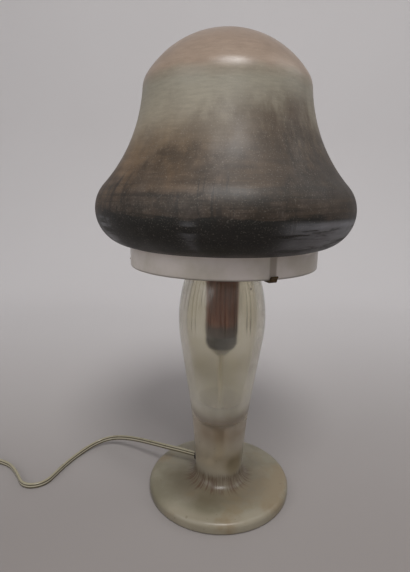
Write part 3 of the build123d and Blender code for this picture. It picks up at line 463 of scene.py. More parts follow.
# base: foot and stem blown in one, solid below, hollow from the neck down
base = {
    "footRadius": 61.0,  # mm
    "footEdge": 9.5,
    "footTop": 11.5,
    "edgeRound": 4.0,
    "lowerRound": 2.0,
    "flareRound": 8.0,
    "waist": (20.3, 20.0),
    "waistLean": 2.0,  # degrees
    "coneStart": (26.4, 87.0),
    "coneEnd": (34.2, 138.0),
    "neck": (26.2, 200.0),
    "neckTop": 208.0,
    "lipRound": 1.5,
    "wall": 6.5,
    "floorHeight": 60.0,
    "floorEdge": (11.0, 65.0),
    "throatRadius": 4.6,
    "throatFloor": 18.5,
    "holeRadius": 3.7,
    "holeHeight": 24.0,
    "holeAzimuth": 158.7,  # degrees from +X
    "drillMiddle": 21.0,  # mm from the axis
    "drillLength": 40.0,
    "drillSides": 40,
    "underRings": (20.0, 40.0),  # mm from the axis
    "footShares": (0.15, 0.35, 0.55, 0.75, 0.9),  # where rings lie between the edge and the flare
    "coneShares": (0.2, 0.4, 0.6, 0.8, 1),
    "hollowShares": (0.25, 0.5, 0.75, 1),
    "throatRing": 40.0,  # mm up
    "outerSteps": (5, 8, 8, 16, 20, 4),  # under the edge, edge, flare, waist, neck and lip
    "innerSteps": (6, 10, 16),  # floor, hollow and neck
    "steps": 112,
    "smoothAngle": 35,  # degrees
}


def baseProfile():
    # under the foot, out over its edge, up the stem to the neck, and down the cavity and the throat
    lowerSteps, edgeSteps, flareSteps, waistSteps, neckSteps, lipSteps = base["outerSteps"]
    floorSteps, hollowSteps, innerNeckSteps = base["innerSteps"]
    radius, low = base["footRadius"], base["lowerRound"]
    points = [Vector((across, 0)) for across in (0, *base["underRings"], radius - low)]
    points += tangentArc(points[-1], (1, 0), (radius, low), lowerSteps)[0]
    slope = atan2(base["footTop"] - base["footEdge"], radius - base["waist"][0])
    edgeReach = base["edgeRound"] * (1 - sin(slope)) / cos(slope)
    points.append(Vector((radius, base["footEdge"] - edgeReach)))
    topStart = Vector((radius - edgeReach * cos(slope), base["footEdge"] + edgeReach * sin(slope)))
    points += tangentArc(points[-1], (0, 1), topStart, edgeSteps)[0]
    flareCorner = Vector((base["waist"][0], base["footTop"]))
    flareReach = base["flareRound"] * (cos(slope) / (1 + sin(slope)))
    flareStart = flareCorner + Vector((cos(slope), -sin(slope))) * flareReach
    points += [topStart.lerp(flareStart, share) for share in base["footShares"]]
    points.append(flareStart)
    flareEnd = flareCorner + Vector((0, flareReach))
    points += tangentArc(flareStart, (-cos(slope), sin(slope)), flareEnd, flareSteps)[0]
    lean = radians(base["waistLean"])
    points.append(Vector(base["waist"]))
    start, end = Vector(base["coneStart"]), Vector(base["coneEnd"])
    points += tangentArc(base["waist"], (sin(lean), cos(lean)), start, waistSteps)[0]
    points += [start.lerp(end, share) for share in base["coneShares"]]
    points += tangentArc(end, end - start, base["neck"], neckSteps)[0]
    lip = base["lipRound"]
    points.append(Vector((base["neck"][0], base["neckTop"] - lip)))
    lipEnd = (base["neck"][0] - lip, base["neckTop"])
    points += tangentArc(points[-1], (0, 1), lipEnd, lipSteps)[0]
    # the cavity is drawn from its floor up to the neck, and joined on from the top down
    wall = Vector((base["wall"], 0))
    inner = [Vector((0, base["floorHeight"]))]
    arc, heading = tangentArc(inner[-1], (1, 0), base["floorEdge"], floorSteps)
    inner += arc
    arc, heading = tangentArc(inner[-1], heading, start - wall, hollowSteps)
    inner += arc
    inner += [(start - wall).lerp(end - wall, share) for share in base["hollowShares"]]
    inner += tangentArc(inner[-1], end - start, Vector(base["neck"]) - wall, innerNeckSteps)[0]
    inner.append(Vector((base["neck"][0] - base["wall"], base["neckTop"])))
    throat, clearOf = base["throatRadius"], 0.5  # mm
    cavity = [point for point in reversed(inner) if point.x > throat + clearOf]
    meet = next(nearer.lerp(farther, (throat - nearer.x) / (farther.x - nearer.x))
                for nearer, farther in zip(inner, inner[1:]) if nearer.x <= throat < farther.x)
    floor = base["throatFloor"]
    points += cavity + [meet, Vector((throat, base["throatRing"]))]
    return points + [Vector((throat, floor)), Vector((0, floor))]


glassBase = lathe("frostedBase", baseProfile(), base["steps"])
bpy.ops.object.select_all(action="DESELECT")
hole, drillAt = radians(base["holeAzimuth"]), base["drillMiddle"] / 1000
bpy.ops.mesh.primitive_cylinder_add(
    vertices=base["drillSides"], radius=base["holeRadius"] / 1000, depth=base["drillLength"] / 1000,
    location=(drillAt * cos(hole), drillAt * sin(hole), base["holeHeight"] / 1000),
    rotation=(0, pi / 2, hole),
)
drill = bpy.context.object
cordHole = glassBase.modifiers.new("cordHole", "BOOLEAN")
cordHole.operation, cordHole.object, cordHole.solver = "DIFFERENCE", drill, "EXACT"
applyLast(glassBase)
bpy.data.objects.remove(drill)
smoothAll(glassBase, base["smoothAngle"])
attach(glassBase, "lamp")
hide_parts("glass_base")
print("base turned:", len(glassBase.data.polygons), "faces")


def scaledRing(tree, ring, up, across, height):
    # the direction round the axis and the height, each at its own scale
    return joined(tree, times(tree, ring[0], across), times(tree, ring[1], across),
                  times(tree, up, height))


def nearness(tree, where, centre, size):
    # 1 at a place on the piece, 0 at size from it
    node = tree.nodes.new("ShaderNodeVectorMath")
    node.operation = "DISTANCE"
    plug(tree, node, 0, where)
    plug(tree, node, 1, centre)
    return between(tree, node.outputs["Value"], size, size * 0.3)


# the painting: misty hills over still water, with reeds on the bank
# heights are metres above the table, and a pair is where a thing starts and where it is at its full
painting = {
    "lowEdge": 0.2158,  # where the bare collar ends
    "span": (0.200, 0.3686),  # from the foot of the ground to its top
    "ground": [  # share of the span, and the paint there
        (0.00, (20, 20, 16)), (0.20, (27, 26, 22)), (0.26, (68, 57, 43)), (0.36, (103, 87, 67)),
        (0.48, (125, 111, 90)), (0.60, (148, 139, 121)), (0.74, (150, 144, 128)),
        (0.775, (149, 138, 121)), (0.80, (152, 133, 116)), (0.88, (145, 126, 110)),
        (1.00, (138, 120, 106)),
    ],
    "warmMist": (122, 92, 60),
    "coolMist": (112, 102, 98),
    "mistTop": (0.312, 0.272),
    "mistStrength": 0.6,
    "shadow": (72, 56, 38),
    "shadowTop": (0.312, 0.284),
    "shadowStrength": 0.68,
    "ridges": (  # place in the noise, height, rise and soft edge, strength, paint
        ((0.3, 1.4, 0), 0.2905, 0.080, 0.0070, 0.42, (98, 85, 70)),
        ((2.1, 0.2, 0), 0.2740, 0.080, 0.0045, 0.82, (62, 48, 32)),
        ((4.4, 3.1, 0), 0.2520, 0.040, 0.0030, 0.82, (38, 30, 19)),
    ),
    "leaves": 0.012,  # how far they roughen a ridge
    "copse": (42, 31, 18),
    "copseTop": (0.308, 0.290),
    "copseFoot": (0.246, 0.262),
    "copseStrength": 0.62,
    "bankShade": (42, 34, 23),
    "bankShadeTop": (0.2700, 0.2520),
    "bankShadeStrength": 0.6,
    "water": (19, 19, 14),
    "waterline": 0.2415,
    "waterStrength": 0.92,
    "sheen": (136, 137, 142),
    "sheenTop": (0.2410, 0.2370),
    "sheenFoot": (0.2165, 0.2250),
    "reeds": (34, 29, 24),
    "reedFoot": (0.228, 0.238),
    "reedLow": 0.2360,  # height of the shortest reeds
    "reedHeight": 0.060,
    "reedStrength": 0.62,
    "specks": (176, 168, 156),
    "speckStrength": 0.16,
    "stains": (84, 70, 58),
    "stainStrength": 0.20,
    "crown": (0.312, 0.332),
    "dullness": (0.52, 0.36),  # of the bell and of the crown
}


def paintedGlass():
    # thin satin paint, the pattern closed round the bell
    finish, tree, shader = newFinish("paintedShadeGlass", Roughness=0.4, IOR=1.5)
    place = objectPlace(tree)
    z = partsOf(tree, place)[2]
    turned = roundTheAxis(tree, place)
    ring = partsOf(tree, turned)
    skin = scaledRing(tree, ring, z, 1.0, 11.0)
    wobble = swing(tree, cloud(tree, skin, 1.7), 0.012)
    strokes = cloud(tree, scaledRing(tree, ring, z, 2.2, 210.0), 1.0, 4.0, 0.6)
    level = between(tree, plus(tree, z, wobble), *painting["span"])
    level.node.interpolation_type = "LINEAR"
    colour = colourSteps(tree, level, painting["ground"])
    # warm and cool washes in the mist, darker toward the wooded side
    side = minus(tree, times(tree, ring[0], 0.8), times(tree, ring[1], 0.6))
    patches = cloud(tree, stretched(tree, skin, (1, 1, 0.8), (3.4, 7.1, 0)), 1.9)
    patches = between(tree, patches, 0.36, 0.64)
    mist = brushed(tree, paint(*painting["warmMist"]), patches, painting["coolMist"])
    misty = times(tree, between(tree, z, *painting["mistTop"]), painting["mistStrength"])
    colour = blend(tree, misty, colour, mist)
    shadow = cloud(tree, stretched(tree, skin, (1, 1, 0.7), (0.8, 4.6, 0)), 2.4, 4.0, 0.6)
    shadow = plus(tree, between(tree, shadow, 0.40, 0.62), between(tree, side, 0.5, 1.0, 0.0, 0.5))
    leaning = minus(tree, z, times(tree, side, 0.020))
    shadow = times(tree, shadow, between(tree, side, -0.4, 1.0, 0.45, 1.0),
                   between(tree, leaning, *painting["shadowTop"], 0.0, painting["shadowStrength"]))
    colour = brushed(tree, colour, shadow, painting["shadow"])
    # three ridges, each nearer, lower and darker than the last, their tops soft with leaves
    leaves = swing(tree, cloud(tree, turned, 13.0, 4.0, 0.7), painting["leaves"])
    mottle = between(tree, cloud(tree, skin, 11.0, 5.0, 0.7), 0.34, 0.62, 0.35, 1.0)
    for where, height, rise, soft, strength, tone in painting["ridges"]:
        ridge = cloud(tree, stretched(tree, turned, (1.7, 1.7, 1), where), 1.0, 1.5, 0.4)
        ridge = plus(tree, plus(tree, swing(tree, ridge, rise), height), leaves)
        under = minus(tree, plus(tree, ridge, times(tree, side, 0.014)), z)
        mask = times(tree, between(tree, under, -soft, soft),
                     between(tree, under, 0.030, 0.0, 0.50, 1.0), mottle, strength)
        colour = brushed(tree, colour, mask, tone)
    # a copse on the wooded side
    copse = plus(tree, times(tree, leaves, 26.0), side)
    twigs = cloud(tree, scaledRing(tree, ring, z, 16.0, 95.0), 1.0, 5.0, 0.75)
    copse = times(tree, between(tree, copse, 0.78, 0.96), between(tree, z, *painting["copseTop"]),
                  between(tree, z, *painting["copseFoot"], 0.0, painting["copseStrength"]),
                  between(tree, twigs, 0.38, 0.56, 0.45, 1.25))
    colour = brushed(tree, colour, copse, painting["copse"])
    # level strokes of shade over the near bank
    bankShade = cloud(tree, scaledRing(tree, ring, z, 1.5, 380.0), 1.0, 3.0, 0.6)
    bankShade = times(tree, between(tree, bankShade, 0.50, 0.60),
                      between(tree, z, *painting["bankShadeTop"]), painting["bankShadeStrength"])
    colour = brushed(tree, colour, bankShade, painting["bankShade"])
    # dark water, pale in level strokes where the sky lies on it
    bank = swing(tree, cloud(tree, turned, 3.0, 4.0, 0.6), 0.010)
    bank = plus(tree, plus(tree, bank, swing(tree, strokes, 0.016)), painting["waterline"])
    water = between(tree, minus(tree, bank, z), -0.0012, 0.0012)
    water = times(tree, water, painting["waterStrength"])
    colour = brushed(tree, colour, water, painting["water"])
    openWater = cloud(tree, stretched(tree, turned, (1, 1, 1), (5.3, 2.2, 0)), 1.3)
    openWater = between(tree, plus(tree, openWater, times(tree, side, 0.16)), 0.48, 0.62)
    sheen = between(tree, plus(tree, strokes, times(tree, side, 0.05)), 0.42, 0.54)
    sheen = times(tree, sheen, openWater, between(tree, z, *painting["sheenTop"]),
                  between(tree, z, *painting["sheenFoot"], 0.3, 0.9))
    colour = brushed(tree, colour, sheen, painting["sheen"])
    # reeds in clumps along the bank
    clump = cloud(tree, stretched(tree, turned, (1, 1, 1), (8.7, 1.9, 0)), 2.6, 1.0)
    clump = between(tree, clump, 0.41, 0.55)
    blades = cloud(tree, scaledRing(tree, ring, z, 30.0, 26.0), 1.0, 2.0, 0.5, 0.8)
    tips = times(tree, cloud(tree, turned, 16.0, 2.0), times(tree, clump, painting["reedHeight"]))
    below = minus(tree, plus(tree, tips, painting["reedLow"]), z)
    reeds = times(tree, between(tree, blades, 0.51, 0.57), between(tree, below, 0.0, 0.008),
                  clump, between(tree, z, *painting["reedFoot"]), painting["reedStrength"])
    colour = brushed(tree, colour, reeds, painting["reeds"])
    # the brush's level marks, fine and broad, and specks of glass where the paint has rubbed off
    marks = cloud(tree, scaledRing(tree, ring, z, 7.0, 620.0), 1.0, 3.0, 0.6)
    fine = colourSteps(tree, marks, [(0.25, (228, 228, 228)), (0.75, (255, 255, 255))])
    colour = blend(tree, 1.0, colour, fine, "MULTIPLY")
    broad = colourSteps(tree, strokes, [(0.34, (196, 192, 188)), (0.66, (255, 255, 255))])
    colour = blend(tree, between(tree, z, 0.300, 0.262, 0.0, 0.9), colour, broad, "MULTIPLY")
    specks = between(tree, cloud(tree, place, 1150.0, 2.0), 0.58, 0.72)
    specks = times(tree, specks, painting["speckStrength"])
    colour = brushed(tree, colour, specks, painting["specks"])
    stains = between(tree, cloud(tree, place, 34.0, 4.0, 0.6), 0.52, 0.75)
    stains = times(tree, stains, painting["stainStrength"])
    colour = brushed(tree, colour, stains, painting["stains"])
    plug(tree, shader, "Base Color", colour)
    worn = between(tree, cloud(tree, place, 55.0, 4.0), 0.3, 0.7, -0.05, 0.06)
    dull = between(tree, z, *painting["crown"], *painting["dullness"])
    plug(tree, shader, "Roughness", plus(tree, worn, dull))
    bumps(tree, shader, plus(tree, marks, cloud(tree, place, 900.0, 2.0)), 0.12, 0.0003)
    return finish


# acid-dulled glass of the collar and of the shade's inside
collar = {
    "clean": (246, 238, 232),
    "grimy": (214, 207, 190),
    "rim": (104, 94, 84),
    "rimTop": (0.2022, 0.2006),  # metres up
    "armAzimuths": (-66, 54, 174),  # degrees from +X, where the three arms stand behind the glass
    # painted shadow of each arm seen through the glass, a dark stripe up from the rim
    "paintedArmShadow": (128, 110, 92),
    "paintedArmShadowTop": (0.2185, 0.2140),
    "clearness": (0.34, 0.25),  # of the collar, and of the shade's inside above it
    "insideFrom": (0.2160, 0.2170),
}


def frostedCollar():
    finish, tree, shader = newFinish("frostedCollarGlass", (200, 194, 186), Roughness=0.3, IOR=1.45)
    place = objectPlace(tree)
    z = partsOf(tree, place)[2]
    ring = partsOf(tree, roundTheAxis(tree, place))
    grime = between(tree, cloud(tree, place, 30.0, 4.0, 0.6), 0.38, 0.66, 0.0, 0.6)
    colour = brushed(tree, paint(*collar["clean"]), grime, collar["grimy"])
    rim = between(tree, z, *collar["rimTop"], 0.0, 0.6)
    colour = brushed(tree, colour, rim, collar["rim"])
    # a painted shadow stripe where each arm stands behind the glass
    for azimuth in collar["armAzimuths"]:
        facing = plus(tree, times(tree, ring[0], cos(radians(azimuth))),
                      times(tree, ring[1], sin(radians(azimuth))))
        armShadow = times(tree, between(tree, facing, 0.9990, 0.9997),
                      between(tree, z, *collar["paintedArmShadowTop"], 0.0, 0.55))
        colour = brushed(tree, colour, armShadow, collar["paintedArmShadow"])
    plug(tree, shader, "Base Color", colour)
    clear = between(tree, z, *collar["insideFrom"], *collar["clearness"])
    plug(tree, shader, "Transmission Weight", clear)
    plug(tree, shader, "Roughness", between(tree, cloud(tree, place, 120.0), 0.3, 0.7, 0.36, 0.46))
    return finish


# faintly green satin glass: streaked by the neck, clearer in the stem, stained on the foot
# heights, widths and pairs as in the painting
frost = {
    "thin": (232, 228, 212),
    "milky": (246, 243, 232),
    "lowStem": (186, 166, 134),
    "lowStemTop": (0.062, 0.036),
    "thinFoot": (134, 127, 106),
    "milkyFoot": (160, 153, 134),
    "footTop": (0.022, 0.012),
    # painted shadow round the stem on the foot, heavier at the front
    "paintedStemShadow": (98, 86, 66),  # round the stem on the foot
    "paintedStemShadowRadius": (0.054, 0.034),
    # painted highlight along the foot's front edge
    "paintedFootHighlight": (176, 166, 146),
    "paintedFootHighlightRadius": (0.046, 0.056),
    "streaks": (170, 160, 134),
    "streaksFrom": (0.140, 0.180),
    "darkStreaks": (84, 68, 52),
    "darkStreaksFrom": (0.146, 0.158),
    "rays": (88, 62, 44),
    "rayReach": (0.0270, 0.0360),  # shortest and longest, from the axis
    "residue": (70, 48, 32),
    "residueTop": (0.0920, 0.0660),
    "residueFoot": (0.0560, 0.0590),
    "residueRadius": (0.0203, 0.0196),
    "residueCloudiness": 0.75,
    "band": (150, 122, 88),
    "bandTop": (0.0860, 0.0640),
    "bandFoot": (0.0420, 0.0620),
    "flaw": (150, 126, 66),
    "flawAt": ((0.0125, -0.0165, 0.0310), 0.013),  # place and size
    "tanStains": (146, 124, 92),
    "tanStainsTop": (0.0120, 0.0095),
    "spots": (74, 52, 38),
    "spotsAt": (
        ((0.0195, -0.0235, 0.1930), 0.0022), ((0.0205, -0.0240, 0.1850), 0.0014),
        ((-0.0260, -0.0520, 0.0080), 0.0020), ((0.0150, -0.0290, 0.1700), 0.0012),
    ),
    "specks": (104, 92, 74),
    "stemClearness": (0.30, 0.80),  # from the foot to above it
    "stemClearFrom": (0.011, 0.040),
    "neckClearFrom": (0.100, 0.130),
    "neckClearness": 0.17,  # more than the stem's
    "dullness": (0.34, 0.17),  # of the foot and of the neck
    "dullFrom": (0.012, 0.150),
}


def baseFrost():
    finish, tree, shader = newFinish("frostedBaseGlass", (180, 176, 158), Roughness=0.2, IOR=1.45)
    place = objectPlace(tree)
    x, y, z = partsOf(tree, place)
    ring = partsOf(tree, roundTheAxis(tree, place))
    radius = calc(tree, "POWER", plus(tree, times(tree, x, x), times(tree, y, y)), 0.5)
    clouds = cloud(tree, place, 24.0, 4.0, 0.6)
    milky = between(tree, clouds, 0.35, 0.65)
    colour = brushed(tree, paint(*frost["thin"]), milky, frost["milky"])
    low = between(tree, z, *frost["lowStemTop"], 0.0, 0.55)
    colour = brushed(tree, colour, low, frost["lowStem"])
    foot = brushed(tree, paint(*frost["thinFoot"]), milky, frost["milkyFoot"])
    colour = blend(tree, between(tree, z, *frost["footTop"]), colour, foot)
    # the foot: a painted shadow toward the stem, heavier at the front, and a painted highlight
    # along its front edge
    paintedStemShadow = times(tree, between(tree, radius, *frost["paintedStemShadowRadius"]),
                 between(tree, z, 0.030, 0.016, 0.0, 0.64),
                 between(tree, y, 0.020, -0.020, 0.35, 1.0))
    colour = brushed(tree, colour, paintedStemShadow, frost["paintedStemShadow"])
    # a painted highlight ring, only toward the front
    paintedFootHighlight = times(tree, between(tree, radius, *frost["paintedFootHighlightRadius"]),
                   between(tree, z, 0.014, 0.012), between(tree, y, -0.026, -0.050, 0.0, 0.6))
    colour = brushed(tree, colour, paintedFootHighlight, frost["paintedFootHighlight"])
    # pale and dark upright streaks by the neck
    streaks = cloud(tree, scaledRing(tree, ring, z, 12.0, 9.0), 1.0, 4.0, 0.65)
    high = times(tree, between(tree, z, *frost["streaksFrom"]), 0.35)
    streaked = times(tree, between(tree, streaks, 0.50, 0.62), high)
    colour = brushed(tree, colour, streaked, frost["streaks"])
    darkStreaks = times(tree, between(tree, streaks, 0.60, 0.66),
                 between(tree, z, *frost["darkStreaksFrom"], 0.0, 0.7))
    colour = brushed(tree, colour, darkStreaks, frost["darkStreaks"])
    # reddish rays in the angle between stem and foot
    rays = cloud(tree, scaledRing(tree, ring, z, 44.0, 60.0), 1.0, 3.0, 0.6)
    reach = cloud(tree, joined(tree, ring[0], ring[1], 0.0), 14.0)
    reach = between(tree, reach, 0.3, 0.7, *frost["rayReach"])
    inAngle = times(tree, between(tree, radius, reach, minus(tree, reach, 0.006)),
                    between(tree, z, 0.026, 0.018), between(tree, z, 0.0105, 0.0115))
    rayed = times(tree, between(tree, rays, 0.42, 0.58), inAngle, 0.85)
    colour = brushed(tree, colour, rayed, frost["rays"])
    # a brown ring left on the cavity's floor, and a tan band in the glass about it
    residue = times(tree, between(tree, radius, *frost["residueRadius"]),
                    between(tree, z, *frost["residueTop"]), between(tree, z, *frost["residueFoot"]),
                    between(tree, radius, 0.0040, 0.0100, 0.3, 1.0))
    colour = brushed(tree, colour, times(tree, residue, 0.95), frost["residue"])
    band = times(tree, between(tree, z, *frost["bandFoot"]), between(tree, z, *frost["bandTop"]),
                 between(tree, clouds, 0.35, 0.65, 0.75, 0.45))
    colour = brushed(tree, colour, band, frost["band"])
    # a yellow flaw low in the stem, tan stains on the foot, brown spots and fine specks
    flaw = times(tree, nearness(tree, place, *frost["flawAt"]), 0.5)
    colour = brushed(tree, colour, flaw, frost["flaw"])
    stains = between(tree, cloud(tree, place, 30.0, 4.0, 0.6), 0.48, 0.66)
    stains = times(tree, stains, between(tree, z, *frost["tanStainsTop"]), 0.6)
    colour = brushed(tree, colour, stains, frost["tanStains"])
    for spot, size in frost["spotsAt"]:
        colour = brushed(tree, colour, nearness(tree, place, spot, size), frost["spots"])
    specks = between(tree, cloud(tree, place, 260.0, 1.0), 0.74, 0.78)
    colour = brushed(tree, colour, times(tree, specks, 0.35), frost["specks"])
    plug(tree, shader, "Base Color", colour)
    # clearest high in the stem, and hardly clear where the residue lies
    clear = plus(tree, between(tree, z, *frost["stemClearFrom"], *frost["stemClearness"]),
                 between(tree, z, *frost["neckClearFrom"], 0.0, frost["neckClearness"]))
    clear = times(tree, clear, between(tree, clouds, 0.3, 0.7, 1.03, 0.92))
    cloudy = times(tree, residue, frost["residueCloudiness"])
    clear = calc(tree, "SUBTRACT", clear, cloudy, clamp=True)
    plug(tree, shader, "Transmission Weight", clear)
    dull = between(tree, z, *frost["dullFrom"], *frost["dullness"])
    plug(tree, shader, "Roughness", dull)
    grain = plus(tree, cloud(tree, place, 600.0, 2.0), times(tree, rays, inAngle, 0.9))
    bumps(tree, shader, grain, 0.08, 0.0003)
    return finish


bellShade.data.materials.append(paintedGlass())
bellShade.data.materials.append(frostedCollar())
painted, bare = 0, 1
shadeCentre = shade["centre"] / 1000
for face in bellShade.data.polygons:
    away = Vector((face.center.x, face.center.y, max(0, face.center.z - shadeCentre)))
    outside = face.normal.dot(away) > 0
    face.material_index = painted if outside and face.center.z > painting["lowEdge"] else bare
glassBase.data.materials.append(baseFrost())
print("glass finished")

# twin flex: two dark cores seen through an olive sheath, with a painted highlight line between them
sheath = {
    "body": (152, 145, 122),
    # middle: the colour of a painted highlight line between the cores
    "middle": (204, 198, 178),
    "darkWire": (66, 59, 44),
    "paleWire": (94, 85, 66),
    "coreAt": 0.24,  # share of the width, from the middle
    "core": (0.13, 0.07),  # shares over which a core fades in
    "seam": (0.09, 0.02),  # and the bright line
}


def clearFlex():
    finish, tree, shader = newFinish(
        "clearFlexSheath", (150, 146, 118), Roughness=0.3, IOR=1.47,
        Coat_Weight=0.3, Coat_Roughness=0.2)
    chart = tree.nodes.new("ShaderNodeUVMap")
    chart.uv_map = "sheath"
    across = partsOf(tree, chart.outputs[0])[1]
    fromMiddle = calc(tree, "ABSOLUTE", minus(tree, across, 0.5), 0.0)
    fromCore = calc(tree, "ABSOLUTE", minus(tree, fromMiddle, sheath["coreAt"]), 0.0)
    strands = cloud(tree, stretched(tree, chart.outputs[0], (40, 60, 1)), 1.0, 2.0)
    # a painted highlight line down the middle of the sheath
    seam = between(tree, fromMiddle, *sheath["seam"])
    colour = brushed(tree, paint(*sheath["body"]), seam, sheath["middle"])
    wires = brushed(tree, paint(*sheath["darkWire"]), strands, sheath["paleWire"])
    colour = blend(tree, between(tree, fromCore, *sheath["core"]), colour, wires)
    plug(tree, shader, "Base Color", colour)
    dull = between(tree, cloud(tree, objectPlace(tree), 90.0), 0.3, 0.7, 0.24, 0.36)
    plug(tree, shader, "Roughness", dull)
    return finish


flexFinish = clearFlex()
flexRun.data.materials.append(flexFinish)
flexLead.data.materials.append(flexFinish)


# finishes of the CAD's own pieces: a main colour, the one it wears to, and how rough it is
def metal(name, bright, dull, rough, amount=1.0):
    finish, tree, shader = newFinish(name, bright, Metallic=1.0, Roughness=rough)
    place = objectPlace(tree)
    tarnish = between(tree, cloud(tree, place, 60.0, 5.0, 0.65), 0.35, 0.7, 0.0, amount)
    plug(tree, shader, "Base Color", brushed(tree, paint(*bright), tarnish, dull))
    plug(tree, shader, "Roughness", plus(tree, times(tree, tarnish, 0.22), rough))
    bumps(tree, shader, cloud(tree, place, 1100.0), 0.12, 0.0002)
    return finish


def moulded(name, colour, worn, rough, grain=900.0, bump=0.1):
    finish, tree, shader = newFinish(name, colour, Roughness=rough, IOR=1.46)
    place = objectPlace(tree)
    cloudy = between(tree, cloud(tree, place, 70.0, 4.0, 0.6), 0.35, 0.7)
    plug(tree, shader, "Base Color", brushed(tree, paint(*colour), cloudy, worn))
    handled = between(tree, cloud(tree, place, 240.0), 0.3, 0.7, rough - 0.05, rough + 0.08)
    plug(tree, shader, "Roughness", handled)
    bumps(tree, shader, cloud(tree, place, grain), bump, 0.0002)
    return finish


def glazed(name, colour, tint):
    finish, tree, shader = newFinish(
        name, colour, Roughness=0.16, IOR=1.5, Coat_Weight=0.4, Coat_Roughness=0.08)
    place = objectPlace(tree)
    milky = cloud(tree, place, 80.0, 4.0)
    plug(tree, shader, "Base Color", brushed(tree, paint(*colour), milky, tint))
    bumps(tree, shader, cloud(tree, place, 300.0, 2.0), 0.06, 0.0003)
    return finish


def thinGlass(name, colour, rough, through):
    finish, tree, shader = newFinish(
        name, colour, Roughness=rough, IOR=1.45, Transmission_Weight=through)
    place = objectPlace(tree)
    film = [part - 12 for part in colour]
    plug(tree, shader, "Base Color", brushed(tree, paint(*colour), cloud(tree, place, 50.0), film))
    handled = cloud(tree, place, 160.0)
    smoothest = max(0.02, rough - 0.05)
    plug(tree, shader, "Roughness", between(tree, handled, 0.3, 0.7, smoothest, rough + 0.05))
    return finish


stopper = {
    "grain": [(0.3, (96, 46, 26)), (0.55, (136, 70, 42)), (0.75, (156, 88, 56))],
    "darkEnd": (34, 26, 32),
    "darkFrom": (0.155, 0.148),  # metres up, over which its lower end darkens
}


def turnedWood():
    finish, tree, shader = newFinish("stainedTurnedWood", (118, 72, 52), Roughness=0.5, IOR=1.45)
    place = objectPlace(tree)
    grain = cloud(tree, stretched(tree, place, (260, 260, 22)), 1.0, 4.0, 0.6, 0.4)
    colour = colourSteps(tree, grain, stopper["grain"])
    lowEnd = between(tree, partsOf(tree, place)[2], *stopper["darkFrom"], 0.0, 0.85)
    plug(tree, shader, "Base Color", brushed(tree, colour, lowEnd, stopper["darkEnd"]))
    bumps(tree, shader, grain, 0.2, 0.0004)
    return finish


agedBrass = metal("agedBrass", (104, 86, 62), (50, 43, 36), 0.38)
blackenedSteel = metal("blackenedSteel", (40, 36, 36), (28, 25, 26), 0.55)
contactBrass = metal("contactBrass", (200, 172, 104), (168, 138, 84), 0.24)
platedSteel = metal("platedSteel", (196, 196, 192), (150, 148, 144), 0.22, amount=0.7)
bulbAluminium = metal("spunAluminium", (206, 206, 204), (178, 178, 176), 0.26, amount=0.6)
filamentWire = metal("drawnWire", (120, 118, 116), (88, 86, 84), 0.4)
blackRubber = moulded("darkRubber", (30, 25, 29), (44, 37, 42), 0.62, 700.0, 0.2)
holderPlastic = moulded("holderMoulding", (36, 33, 31), (50, 46, 43), 0.4)
palePlastic = moulded("paleMoulding", (222, 217, 202), (212, 205, 188), 0.3)
rockerPlastic = moulded("rockerMoulding", (206, 200, 186), (194, 187, 172), 0.26)
blackTie = moulded("softTie", (30, 30, 31), (44, 44, 45), 0.58, 500.0, 0.3)
blackSleeve = moulded("pinSleeve", (26, 26, 27), (38, 38, 39), 0.42)
porcelain = glazed("glazedPorcelain", (232, 229, 220), (222, 217, 206))
bulbFrost = thinGlass("frostedBulbGlass", (232, 231, 226), 0.5, 0.5)
clearGlass = thinGlass("clearGlassMount", (222, 228, 226), 0.06, 0.9)
piecesByFinish = [
    (agedBrass, "neck_cap", "spider_hub", "hub_nut", "claw_arm_1", "claw_arm_2", "claw_arm_3",
     "arm_rivets"),
    (blackenedSteel, "clamp_washer"),
    (contactBrass, "holder_liner", "centre_contact", "bulb_tip"),
    (platedSteel, "clamp_nut", "threaded_tube", "terminal_screws", "switch_screws", "plug_pins"),
    (bulbAluminium, "bulb_cap"),
    (filamentWire, "bulb_filament"),
    (blackRubber, "cord_bush", "clamp_rubber"),
    (turnedWood(), "neck_stopper"),
    (holderPlastic, "holder_cap", "holder_body"),
    (palePlastic, "inner_flex", "switch_base", "switch_cover", "plug_relief", "plug_body"),
    (rockerPlastic, "switch_rocker"),
    (blackTie, "coil_tie"),
    (blackSleeve, "pin_sleeves"),
    (porcelain, "holder_insert"),
    (bulbFrost, "bulb_glass"),
    (clearGlass, "bulb_mount"),
]
for finish, *pieces in piecesByFinish:
    for piece in pieces:
        nodes[piece].data.materials.clear()
        nodes[piece].data.materials.append(finish)
print("finishes given:", len(piecesByFinish))

# stage: a pale floor that curves up into a backdrop, painted darker toward the front as shade
stage = {
    "near": -1.3,  # metres
    "far": 0.55,
    "halfWidth": 2.2,
    "curve": 0.45,
    "curveSteps": 20,
    "smoothAngle": 60,  # degrees
    "top": 1.9,
    # painted shade: the paper is darker toward the front and paler up the backdrop
    "shadedNearPaper": (122, 114, 110),
    "farPaper": (216, 213, 213),
    "paperShadeSpan": (-0.25, 0.70),  # metres back, over which the paper pales
    "paperClouds": (188, 184, 182),
}
bpy.ops.object.select_all(action="DESELECT")
bpy.ops.mesh.primitive_plane_add(size=1, location=(0, 0, 0))
backdrop = bpy.context.object
backdrop.name = "floorAndBackdrop"
editAll(backdrop)
bpy.ops.transform.resize(value=(2 * stage["halfWidth"], stage["far"] - stage["near"], 1))
bpy.ops.transform.translate(value=(0, (stage["far"] + stage["near"]) / 2, 0))
bpy.ops.mesh.select_all(action="DESELECT")
backToObject()
farEdge = stage["far"] - 0.01
for edge in backdrop.data.edges:
    edge.select = all(backdrop.data.vertices[k].co.y > farEdge for k in edge.vertices)
bpy.ops.object.mode_set(mode="EDIT")
bpy.ops.mesh.select_mode(type="EDGE")
bpy.ops.mesh.spin(
    steps=stage["curveSteps"], angle=pi / 2, center=(0, stage["far"], stage["curve"]),
    axis=(-1, 0, 0),
)
rise = (0, 0, stage["top"] - stage["curve"])
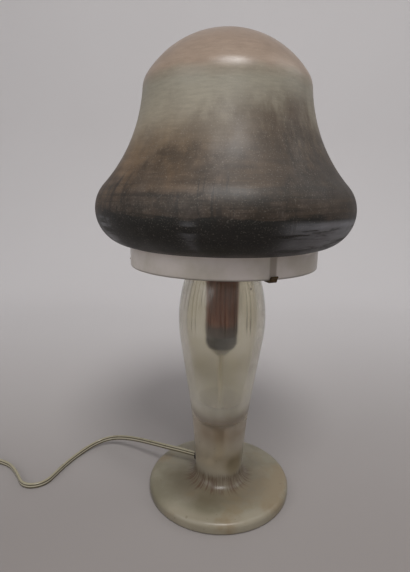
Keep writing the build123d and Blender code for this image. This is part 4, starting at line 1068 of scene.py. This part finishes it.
bpy.ops.mesh.extrude_edges_move(TRANSFORM_OT_translate={"value": rise})
bpy.ops.mesh.select_mode(type="VERT")
backToObject()
smoothAll(backdrop, stage["smoothAngle"])


def stagePaper():
    finish, tree, shader = newFinish("stagePaper", (188, 180, 180), Roughness=0.85)
    place = objectPlace(tree)
    # painted shade, darker toward the front and paler toward the back
    back = between(tree, partsOf(tree, place)[1], *stage["paperShadeSpan"])
    colour = brushed(tree, paint(*stage["shadedNearPaper"]), back, stage["farPaper"])
    clouds = times(tree, cloud(tree, place, 2.0, 2.0), 0.3)
    plug(tree, shader, "Base Color", brushed(tree, colour, clouds, stage["paperClouds"]))
    return finish


backdrop.data.materials.append(stagePaper())

# light: a wide soft lamp above and in front, weaker ones at the left and the right, a dim room
lamps = {  # place and size in metres, and watts
    "key": ((0.12, -0.80, 1.45), 0.6, 14.0),
    "fill": ((-1.0, -0.9, 0.8), 1.2, 4.6),
    "back": ((1.0, 0.1, 1.1), 0.9, 2.4),
}
aim = Vector((0, 0, 0.2))
for name, (place, size, watts) in lamps.items():
    bpy.ops.object.light_add(type="AREA", location=place)
    lamp = bpy.context.object
    lamp.name = name + "Lamp"
    lamp.data.shape, lamp.data.size, lamp.data.energy = "DISK", size, watts
    lamp.rotation_euler = (aim - Vector(place)).to_track_quat("-Z", "Y").to_euler()

roomLook = {
    "light": (200, 198, 200),
    "background": (204, 198, 199),  # as the camera sees it, also through the glass
    "strength": 0.5,  # of its light; the background has 1
}
room = bpy.data.worlds.new("room")
bpy.context.scene.world = room
room.use_nodes = True
roomTree = room.node_tree
sky = roomTree.nodes["Background"]
path = roomTree.nodes.new("ShaderNodeLightPath")
seen = calc(roomTree, "MAXIMUM", path.outputs["Is Camera Ray"], path.outputs["Is Transmission Ray"])
tone = brushed(roomTree, paint(*roomLook["light"]), seen, roomLook["background"])
plug(roomTree, sky, "Color", tone)
strength = times(roomTree, seen, 1 - roomLook["strength"])
plug(roomTree, sky, "Strength", plus(roomTree, strength, roomLook["strength"]))
print("stage and lights set")
